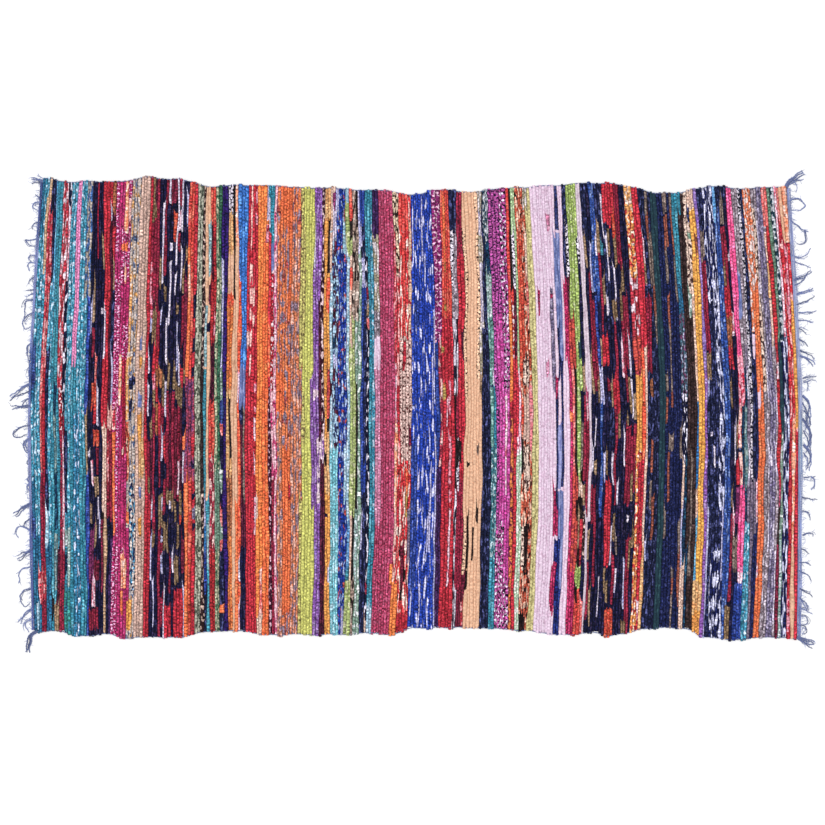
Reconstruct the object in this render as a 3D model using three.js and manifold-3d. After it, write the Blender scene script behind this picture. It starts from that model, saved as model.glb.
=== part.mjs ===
// Rag rug: a thick mat woven from strips of worn cotton cloth, beaten close over a cotton warp.
// It lies flat on the floor. The warp ends hang loose as a fringe from a narrow heading at each short end.
// Millimetres, X along the length, Y across the width, Z up from the floor.
import * as THREE from "three";
import { mergeVertices } from "three/addons/utils/BufferGeometryUtils.js";
import Module from "manifold-3d";

// The woven cloth
const CLOTH_LENGTH = 1510; // along the middle line, from heading to heading
const STRIPS = 272; // rag strips lying side by side, each one a raised rib
const STRIP_PITCH = CLOTH_LENGTH / STRIPS;
const CREST_HEIGHT = 5.8; // top of a strip above the floor
const CREST_UNEVENNESS = 0.5; // how much fuller or thinner a strip may be
const VALLEY_HEIGHT = 4.3; // where two strips meet
const TURN_BULGE = 1.4; // how far a strip's turn stands out of the selvedge
const ROWS_ACROSS = [-1, -0.6, 0, 0.6, 1]; // share of the way from the middle to a selvedge
const LEAN_POWER = 1.3; // how fast a strip bends away towards its ends

// The heading and its fringe
const SEAM_GAP = 0.3; // between the cloth and the heading
const HEADING_HEIGHT = 2.6;
const ROOT_DEPTH = 2; // how far a strand starts inside the heading
const STRAND_WIDTH = 2.2;
const STRAND_HEIGHT = 2;
const STRAND_SPACING = 3.4;
const STRAND_SPREAD = 1.8; // how far the strands of a lock part at their tips
const STRAND_STEPS = 5;
const STRAND_TIP = 0.6; // share of the width left at the tip
const STRAND_SWAY = 1.2;
const DROP_POWER = 1.4; // how late a strand turns along the edge

// How far the end of a strip leans along the length, at the upper and at the lower selvedge.
const LEAN = [
  { along: -755, upper: 24, lower: 8 },
  { along: -694, upper: 18, lower: -1 },
  { along: -536, upper: 11, lower: -2 },
  { along: -300, upper: 7, lower: 1 },
  { along: -143, upper: 4, lower: -3 },
  { along: 15, upper: 3, lower: -10 },
  { along: 113, upper: 0, lower: -12 },
  { along: 251, upper: -14, lower: -5 },
  { along: 369, upper: -18, lower: -11 },
  { along: 487, upper: -17, lower: -16 },
  { along: 645, upper: -19, lower: -8 },
  { along: 755, upper: -25, lower: -3 },
];

// Distance of each selvedge from the middle line, at the crests and hollows of its wave.
const UPPER_SELVEDGE = [
  { along: -731, reach: 462 },
  { along: -678, reach: 452 },
  { along: -580, reach: 454 },
  { along: -521, reach: 464 },
  { along: -477, reach: 458 },
  { along: -393, reach: 444 },
  { along: -304, reach: 448 },
  { along: -235, reach: 442 },
  { along: -151, reach: 446 },
  { along: -88, reach: 438 },
  { along: -5, reach: 428 },
  { along: 50, reach: 442 },
  { along: 109, reach: 438 },
  { along: 184, reach: 444 },
  { along: 267, reach: 448 },
  { along: 355, reach: 454 },
  { along: 395, reach: 450 },
  { along: 464, reach: 432 },
  { along: 507, reach: 430 },
  { along: 586, reach: 446 },
  { along: 660, reach: 438 },
  { along: 733, reach: 446 },
];
const LOWER_SELVEDGE = [
  { along: -745, reach: 432 },
  { along: -702, reach: 426 },
  { along: -668, reach: 442 },
  { along: -629, reach: 442 },
  { along: -590, reach: 436 },
  { along: -576, reach: 446 },
  { along: -501, reach: 444 },
  { along: -456, reach: 444 },
  { along: -422, reach: 430 },
  { along: -334, reach: 426 },
  { along: -300, reach: 438 },
  { along: -196, reach: 438 },
  { along: -38, reach: 436 },
  { along: -9, reach: 426 },
  { along: 60, reach: 422 },
  { along: 168, reach: 426 },
  { along: 316, reach: 440 },
  { along: 359, reach: 430 },
  { along: 375, reach: 438 },
  { along: 483, reach: 422 },
  { along: 538, reach: 426 },
  { along: 562, reach: 440 },
  { along: 631, reach: 448 },
  { along: 680, reach: 442 },
  { along: 759, reach: 448 },
];

// Locks of the fringe: where each leaves the heading, how far it reaches out of it,
// how far its tip drops along the edge, how many strands it has and how thick they are.
const LEFT_END = {
  node: "fringe_left",
  side: -1,
  heading: 5.5,
  locks: [
    { at: 452, reach: 26, drop: -6, strands: 2, girth: 1.3 },
    { at: 424, reach: 16, drop: -6, strands: 2, girth: 1 },
    { at: 405, reach: 16, drop: 6, strands: 2, girth: 1 },
    { at: 340, reach: 23, drop: 0, strands: 2, girth: 1 },
    { at: 318, reach: 14, drop: -2, strands: 1, girth: 1 },
    { at: 306, reach: 16, drop: 5, strands: 2, girth: 1 },
    { at: 295, reach: 16, drop: 11, strands: 2, girth: 1 },
    { at: 261, reach: 10, drop: 6, strands: 2, girth: 1 },
    { at: 245, reach: 18, drop: 6, strands: 2, girth: 1 },
    { at: 234, reach: 20, drop: 8, strands: 2, girth: 1 },
    { at: 218, reach: 20, drop: 30, strands: 2, girth: 1 },
    { at: 198, reach: 23, drop: 28, strands: 2, girth: 1.1 },
    { at: 153, reach: 12, drop: 22, strands: 2, girth: 1 },
    { at: 139, reach: 8, drop: 30, strands: 1, girth: 1 },
    { at: 56, reach: 36, drop: 27, strands: 2, girth: 1.1 },
    { at: 42, reach: 36, drop: 22, strands: 2, girth: 1 },
    { at: 27, reach: 34, drop: 17, strands: 2, girth: 1.1 },
    { at: -23, reach: 34, drop: 22, strands: 2, girth: 1.1 },
    { at: -48, reach: 11, drop: 16, strands: 2, girth: 1.1 },
    { at: -80, reach: 6, drop: 6, strands: 2, girth: 1 },
    { at: -118, reach: 5, drop: 8, strands: 2, girth: 1 },
    { at: -178, reach: 32, drop: 24, strands: 3, girth: 1 },
    { at: -212, reach: 26, drop: 18, strands: 2, girth: 1 },
    { at: -235, reach: 27, drop: 11, strands: 2, girth: 1 },
    { at: -267, reach: 25, drop: 22, strands: 2, girth: 1.1 },
    { at: -302, reach: 24, drop: 12, strands: 2, girth: 1 },
    { at: -320, reach: 27, drop: 17, strands: 2, girth: 1.1 },
    { at: -345, reach: 27, drop: 24, strands: 2, girth: 1.1 },
    { at: -379, reach: 28, drop: 30, strands: 2, girth: 1.1 },
    { at: -402, reach: 18, drop: 26, strands: 2, girth: 1 },
    { at: -422, reach: 19, drop: 46, strands: 3, girth: 1.3 },
  ],
};
const RIGHT_END = {
  node: "fringe_right",
  side: 1,
  heading: 8.5,
  locks: [
    { at: 438, reach: 27, drop: -34, strands: 3, girth: 1.4 },
    { at: 414, reach: 27, drop: -3, strands: 2, girth: 1 },
    { at: 400, reach: 28, drop: 1, strands: 2, girth: 1 },
    { at: 390, reach: 18, drop: 2, strands: 1, girth: 1 },
    { at: 376, reach: 31, drop: 14, strands: 2, girth: 1.2 },
    { at: 360, reach: 27, drop: 12, strands: 2, girth: 1 },
    { at: 340, reach: 20, drop: 6, strands: 1, girth: 1 },
    { at: 310, reach: 34, drop: -14, strands: 1, girth: 1.1 },
    { at: 296, reach: 31, drop: 10, strands: 2, girth: 1 },
    { at: 263, reach: 29, drop: -15, strands: 2, girth: 1.1 },
    { at: 249, reach: 26, drop: -12, strands: 2, girth: 1 },
    { at: 233, reach: 28, drop: -10, strands: 1, girth: 1 },
    { at: 216, reach: 28, drop: -12, strands: 2, girth: 1.2 },
    { at: 196, reach: 30, drop: -5, strands: 2, girth: 1.1 },
    { at: 182, reach: 26, drop: 6, strands: 2, girth: 1.1 },
    { at: 147, reach: 16, drop: 16, strands: 2, girth: 1 },
    { at: 126, reach: 26, drop: 20, strands: 2, girth: 1.1 },
    { at: 110, reach: 24, drop: 18, strands: 2, girth: 1.3 },
    { at: 68, reach: 29, drop: -5, strands: 1, girth: 1 },
    { at: 56, reach: 26, drop: -6, strands: 2, girth: 1.1 },
    { at: 27, reach: 13, drop: 28, strands: 2, girth: 1.3 },
    { at: -16, reach: 15, drop: 28, strands: 2, girth: 1.3 },
    { at: -58, reach: 12, drop: 26, strands: 2, girth: 1.2 },
    { at: -104, reach: 10, drop: 8, strands: 2, girth: 1 },
    { at: -127, reach: 20, drop: -2, strands: 2, girth: 1 },
    { at: -147, reach: 18, drop: 2, strands: 2, girth: 1 },
    { at: -166, reach: 26, drop: 5, strands: 2, girth: 1.1 },
    { at: -188, reach: 11, drop: 22, strands: 2, girth: 1 },
    { at: -238, reach: 15, drop: -2, strands: 1, girth: 1 },
    { at: -300, reach: 20, drop: -2, strands: 1, girth: 1.1 },
    { at: -313, reach: 19, drop: 13, strands: 2, girth: 1 },
    { at: -329, reach: 19, drop: 8, strands: 1, girth: 1 },
    { at: -345, reach: 21, drop: 17, strands: 2, girth: 1.1 },
    { at: -362, reach: 16, drop: 22, strands: 2, girth: 1.1 },
    { at: -379, reach: 19, drop: 20, strands: 2, girth: 1 },
    { at: -395, reach: 16, drop: 14, strands: 2, girth: 1 },
    { at: -411, reach: 20, drop: 10, strands: 2, girth: 1 },
    { at: -434, reach: 29, drop: 22, strands: 3, girth: 1.4 },
  ],
};

const wasm = await Module();
wasm.setup();

// Reads a column of a table, easing from each row to the next.
function lookUp(table, column, along) {
  const next = table.findIndex((row) => row.along > along);
  if (next === 0) return table[0][column];
  if (next < 0) return table[table.length - 1][column];
  const before = table[next - 1];
  const after = table[next];
  const share = (along - before.along) / (after.along - before.along);
  const eased = share * share * (3 - 2 * share);
  return before[column] + (after[column] - before[column]) * eased;
}

// A number from 0 to 1 that looks random and is the same for the same strip each time.
function scatter(index) {
  const wide = Math.sin(index * 12.9898) * 43758.5453;
  return wide - Math.floor(wide);
}

// A point on a strip that crosses the middle line at `along`, a share of the way to a selvedge.
// `drawnIn` shortens the strip at both ends.
function pointOnStrip(along, share, drawnIn) {
  const upper = share > 0;
  const lean = lookUp(LEAN, upper ? "upper" : "lower", along);
  const selvedge = upper ? UPPER_SELVEDGE : LOWER_SELVEDGE;
  const reach = lookUp(selvedge, "reach", along + lean) - drawnIn;
  const bend = Math.abs(share) ** LEAN_POWER;
  return new THREE.Vector2(along + lean * bend, share * reach);
}

function closedGeometry(points, triangles) {
  const geometry = new THREE.BufferGeometry().setFromPoints(points);
  geometry.setIndex(triangles);
  return geometry;
}

// The cloth: ribs over a flat underside. Valleys run through to the underside's own points,
// and each crest between two valleys bulges out of the selvedge as the turn of its strip.
function clothGeometry() {
  const points = [];
  const triangles = [];
  const rows = ROWS_ACROSS.length;
  const last = rows - 1;

  function addColumn(along, height, drawnIn) {
    const first = points.length;
    for (const share of ROWS_ACROSS) {
      const flat = pointOnStrip(along, share, drawnIn);
      points.push(new THREE.Vector3(flat.x, flat.y, height));
    }
    return first;
  }

  function addBand(left, right) {
    for (let row = 0; row < last; row += 1) {
      const [a, b, c, d] = [left + row, right + row, right + row + 1, left + row + 1];
      triangles.push(a, b, c, a, c, d);
    }
  }

  const valleys = [];
  const soles = [];
  for (let i = 0; i <= STRIPS; i += 1) {
    const along = -CLOTH_LENGTH / 2 + i * STRIP_PITCH;
    valleys.push(addColumn(along, VALLEY_HEIGHT, TURN_BULGE));
    soles.push(addColumn(along, 0, TURN_BULGE));
  }
  for (let i = 0; i < STRIPS; i += 1) {
    const along = -CLOTH_LENGTH / 2 + (i + 0.5) * STRIP_PITCH;
    const height = CREST_HEIGHT + CREST_UNEVENNESS * (2 * scatter(i) - 1);
    const crest = addColumn(along, height, 0);
    const [valley, nextValley] = [valleys[i], valleys[i + 1]];
    const [sole, nextSole] = [soles[i], soles[i + 1]];
    addBand(valley, crest);
    addBand(crest, nextValley);
    addBand(nextSole, sole);
    const lower = [sole, crest, valley, sole, nextSole, crest, nextSole, nextValley, crest];
    const upper = [sole, valley, crest, sole, crest, nextSole, nextSole, crest, nextValley];
    triangles.push(...lower);
    triangles.push(...upper.map((point) => point + last));
  }
  addBand(soles[0], valleys[0]);
  addBand(valleys[STRIPS], soles[STRIPS]);
  return closedGeometry(points, triangles);
}

// The cloth's outline at one short end, from the lower selvedge to the upper one.
function endOutline(side) {
  return ROWS_ACROSS.map((share) => pointOnStrip((side * CLOTH_LENGTH) / 2, share, TURN_BULGE));
}

// Where the heading's outer edge lies at a given place across the width.
function headingEdge(end, outline, across) {
  const next = outline.findIndex((point) => point.y > across);
  const after = Math.min(Math.max(next < 0 ? outline.length - 1 : next, 1), outline.length - 1);
  const [a, b] = [outline[after - 1], outline[after]];
  const along = a.x + ((b.x - a.x) * (across - a.y)) / (b.y - a.y);
  return along + end.side * (SEAM_GAP + end.heading);
}

function headingGeometry(end, outline) {
  const inner = outline.map((point) => new THREE.Vector2(point.x + end.side * SEAM_GAP, point.y));
  const outer = inner.map((point) => new THREE.Vector2(point.x + end.side * end.heading, point.y));
  const shape = new THREE.Shape([...inner, ...outer.reverse()]);
  return new THREE.ExtrudeGeometry(shape, { depth: HEADING_HEIGHT, bevelEnabled: false });
}

// One strand: a three-sided thread lying with a flat side on the floor, thinner towards its tip.
// `place` counts strands from the middle of the lock, and they part square to the way the lock runs.
function strandGeometry(end, outline, lock, place) {
  const edge = headingEdge(end, outline, lock.at + place * STRAND_SPACING);
  const length = Math.hypot(lock.reach, lock.drop);
  const path = [];
  for (let step = 0; step <= STRAND_STEPS; step += 1) {
    const share = step / STRAND_STEPS;
    const apart = place * (STRAND_SPACING * lock.girth + STRAND_SPREAD * share);
    const out = share * (lock.reach + (apart * lock.drop) / length) - ROOT_DEPTH * (1 - share);
    const side = apart * (1 - share + (share * lock.reach) / length);
    const sway = STRAND_SWAY * Math.sin(2 * Math.PI * share);
    const across = lock.at - lock.drop * share ** DROP_POWER + side + sway;
    path.push(new THREE.Vector2(edge + end.side * out, across));
  }

  const points = [];
  const triangles = [];
  path.forEach((centre, step) => {
    const ahead = path[Math.min(step + 1, STRAND_STEPS)];
    const behind = path[Math.max(step - 1, 0)];
    const forward = ahead.clone().sub(behind).normalize();
    const size = lock.girth * (1 - (1 - STRAND_TIP) * (step / STRAND_STEPS));
    const half = (STRAND_WIDTH * size) / 2;
    points.push(new THREE.Vector3(centre.x - forward.y * half, centre.y + forward.x * half, 0));
    points.push(new THREE.Vector3(centre.x + forward.y * half, centre.y - forward.x * half, 0));
    points.push(new THREE.Vector3(centre.x, centre.y, STRAND_HEIGHT * size));
  });
  for (let step = 0; step < STRAND_STEPS; step += 1) {
    const [left, right, top] = [3 * step, 3 * step + 1, 3 * step + 2];
    const [farLeft, farRight, farTop] = [left + 3, right + 3, top + 3];
    triangles.push(left, farLeft, farRight, left, farRight, right);
    triangles.push(left, top, farTop, left, farTop, farLeft);
    triangles.push(right, farRight, farTop, right, farTop, top);
  }
  const tip = 3 * STRAND_STEPS;
  triangles.push(0, 1, 2, tip, tip + 2, tip + 1);
  return closedGeometry(points, triangles);
}

function solidOf(geometry) {
  geometry.deleteAttribute("normal");
  geometry.deleteAttribute("uv");
  const merged = mergeVertices(geometry);
  const vertProperties = merged.attributes.position.array;
  const triVerts = new Uint32Array(merged.index.array);
  return new wasm.Manifold(new wasm.Mesh({ numProp: 3, vertProperties, triVerts }));
}

function geometryOf(solid) {
  const mesh = solid.getMesh();
  const geometry = new THREE.BufferGeometry();
  geometry.setAttribute("position", new THREE.BufferAttribute(mesh.vertProperties, 3));
  geometry.setIndex(new THREE.BufferAttribute(mesh.triVerts, 1));
  return geometry;
}

// A heading with every strand of its fringe growing out of it.
function fringeGeometry(end) {
  const outline = endOutline(end.side);
  let solid = solidOf(headingGeometry(end, outline));
  for (const lock of end.locks) {
    for (let strand = 0; strand < lock.strands; strand += 1) {
      const place = strand - (lock.strands - 1) / 2;
      solid = solid.add(solidOf(strandGeometry(end, outline, lock, place)));
    }
  }
  return geometryOf(solid);
}

function addMesh(group, name, geometry, material) {
  geometry.computeVertexNormals();
  const mesh = new THREE.Mesh(geometry, material);
  mesh.name = name;
  group.add(mesh);
}

const rags = new THREE.MeshStandardMaterial({ color: 0x8d5668, roughness: 0.95, metalness: 0 });
const warpYarn = new THREE.MeshStandardMaterial({ color: 0x7d88ac, roughness: 0.95, metalness: 0 });

const rug = new THREE.Group();
addMesh(rug, "rug_cloth", clothGeometry(), rags);
for (const end of [LEFT_END, RIGHT_END]) {
  addMesh(rug, end.node, fringeGeometry(end), warpYarn);
}

// The origin is on the floor under the middle of the whole rug, fringe included.
const middle = new THREE.Box3().setFromObject(rug).getCenter(new THREE.Vector3());
rug.position.set(-middle.x, -middle.y, 0);

export default rug;
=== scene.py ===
import bpy
import numpy as np
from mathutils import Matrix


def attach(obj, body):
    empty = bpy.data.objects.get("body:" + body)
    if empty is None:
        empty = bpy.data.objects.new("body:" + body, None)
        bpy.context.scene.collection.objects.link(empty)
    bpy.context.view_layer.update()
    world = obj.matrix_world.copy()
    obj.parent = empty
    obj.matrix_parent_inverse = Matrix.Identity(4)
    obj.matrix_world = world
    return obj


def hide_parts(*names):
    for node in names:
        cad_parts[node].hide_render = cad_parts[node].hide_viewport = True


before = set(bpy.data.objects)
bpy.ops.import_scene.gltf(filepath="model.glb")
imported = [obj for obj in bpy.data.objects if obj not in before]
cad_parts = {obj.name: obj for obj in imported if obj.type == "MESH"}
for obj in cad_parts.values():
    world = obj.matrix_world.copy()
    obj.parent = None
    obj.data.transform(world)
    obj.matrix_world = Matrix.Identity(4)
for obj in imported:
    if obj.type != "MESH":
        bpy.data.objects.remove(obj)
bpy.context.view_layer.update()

# The rag cloth. Strips torn from worn cotton clothes are laid side by side as the weft, one every 5.5 mm,
# and beaten close, so that each goes over and under the warp as a row of small beads.
STRIPS = 272
LENGTH = 1.510  # along the middle line, from heading to heading
PITCH = LENGTH / STRIPS
UPPER_HALF = 0.446  # from the middle line to a selvedge, as the chart counts it
LOWER_HALF = 0.436
MIDDLE = np.array([0.00107, -0.0029])  # of the woven cloth, in the frame
DENT = 0.0068  # from one crossing of the warp to the next along a strip
ROW = 0.004  # from one point of a strip to the next
ROWS = 117  # of those points on each side of the middle line
BAND_STRIPS = 46  # in one piece
chance = np.random.default_rng(7)

# How far a strip's end leans along the rug: place along it, then the lean at the upper and at the lower
# selvedge, in mm.
LEAN_POWER = 1.3  # how late a strip bends away towards its ends
LEAN = np.array([
    (-755, 24, 8), (-694, 18, -1), (-536, 11, -2), (-300, 7, 1), (-143, 4, -3), (15, 3, -10),
    (113, 0, -12), (251, -14, -5), (369, -18, -11), (487, -17, -16), (645, -19, -8), (755, -25, -3),
]) / 1000

# Distance of each selvedge from the middle line at the crests and hollows of its wave, in mm.
UPPER_SELVEDGE = np.array([
    (-731, 465), (-678, 455), (-580, 456), (-521, 465), (-477, 463), (-393, 447), (-304, 449), (-235, 444),
    (-151, 443), (-88, 441), (-5, 430), (50, 440), (109, 436), (184, 444), (267, 448), (355, 454),
    (395, 452), (464, 435), (507, 433), (586, 446), (660, 441), (733, 447),
]) / 1000
LOWER_SELVEDGE = np.array([
    (-745, 434), (-702, 428), (-668, 440), (-629, 439), (-590, 438), (-576, 444), (-501, 442), (-456, 442),
    (-422, 433), (-334, 429), (-300, 438), (-196, 438), (-38, 436), (-9, 426), (60, 423), (168, 427),
    (316, 439), (359, 432), (375, 440), (483, 424), (538, 428), (562, 441), (631, 449),
    (680, 442), (759, 448),
]) / 1000

# How the strips wander where the beating was uneven: strip, then how many strips it has moved along
# at the upper selvedge, half way up, half way down and at the lower selvedge.
WANDER = np.array([
    (0, 0, 0, 0, 0), (4, -.5, .1, 0, -.3), (9.7, -.6, -.3, .5, .3), (14, -.3, -.1, .3, .5),
    (18.5, -.7, -.2, .5, 1.3), (20.2, -.9, .1, .8, .7), (25, -1.5, 0, .2, .2), (29, -.8, 0, .3, -.6),
    (34, 0, 0, 0, 0), (39.3, .3, .2, .3, -.2), (47, .1, .1, .1, 0), (55, 0, 0, -.4, -.2),
    (58, 0, 0, .4, .1), (62.8, -.5, .2, .2, .7), (67, -.7, -.2, 0, 0), (69, -.5, .6, .7, 1),
    (71.2, -.7, .4, .3, .2), (75.8, .1, .2, .2, .2), (80, -.7, 0, -.3, -.5), (84, -.6, -.4, .3, .4),
    (95.3, 0, 0, 0, -.3), (99.4, .1, -.4, .5, -.2), (104, -.7, -.5, .6, .6), (108.6, -.8, -.2, .1, .4),
    (111.5, -1.2, -.5, -.2, -.5), (117, -.8, 0, .3, -.2), (122, -1.7, -.5, .3, -.5),
    (128.7, -1.5, -.5, .3, -.7), (135.2, -.9, -.2, .1, .1), (144.3, -2.6, -1, .7, 1),
    (146, -1.4, -.4, .3, .2), (149.8, -2.3, -1, .7, .8), (153.8, -1.4, -.2, .1, .2),
    (160.2, -.8, .1, .6, .7), (163.3, -2, -1.1, .7, .7), (165, -2.6, -1.2, .6, .8),
    (169.8, -1.1, -.3, 0, .2), (173.3, -.2, -.2, .4, -.2), (178.5, -1, -.3, .1, -1.1),
    (189, 0, .3, .4, -.9), (191, -.3, -.6, .2, -.6), (197, -1.2, -.5, .3, -.1), (201.5, -1.4, -.9, 0, 0),
    (215, -1.9, -.9, 0, 0), (217.6, -1.2, 0, -.4, -.3), (223, -.8, 0, .2, .4), (231.5, -1.1, -.3, .1, .5),
    (235.2, -1.3, -.8, .5, .7), (238.8, -.8, -.2, .3, -.2), (245.8, -1.4, -.8, .3, -.2),
    (251.1, -1.6, -.6, .5, .2), (258.8, -1.5, -.7, .3, -.7), (264.8, -1.8, -.9, .2, -.6),
    (268.5, -.6, .2, -.4, -.7), (272, 0, 0, 0, 0),
])

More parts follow.
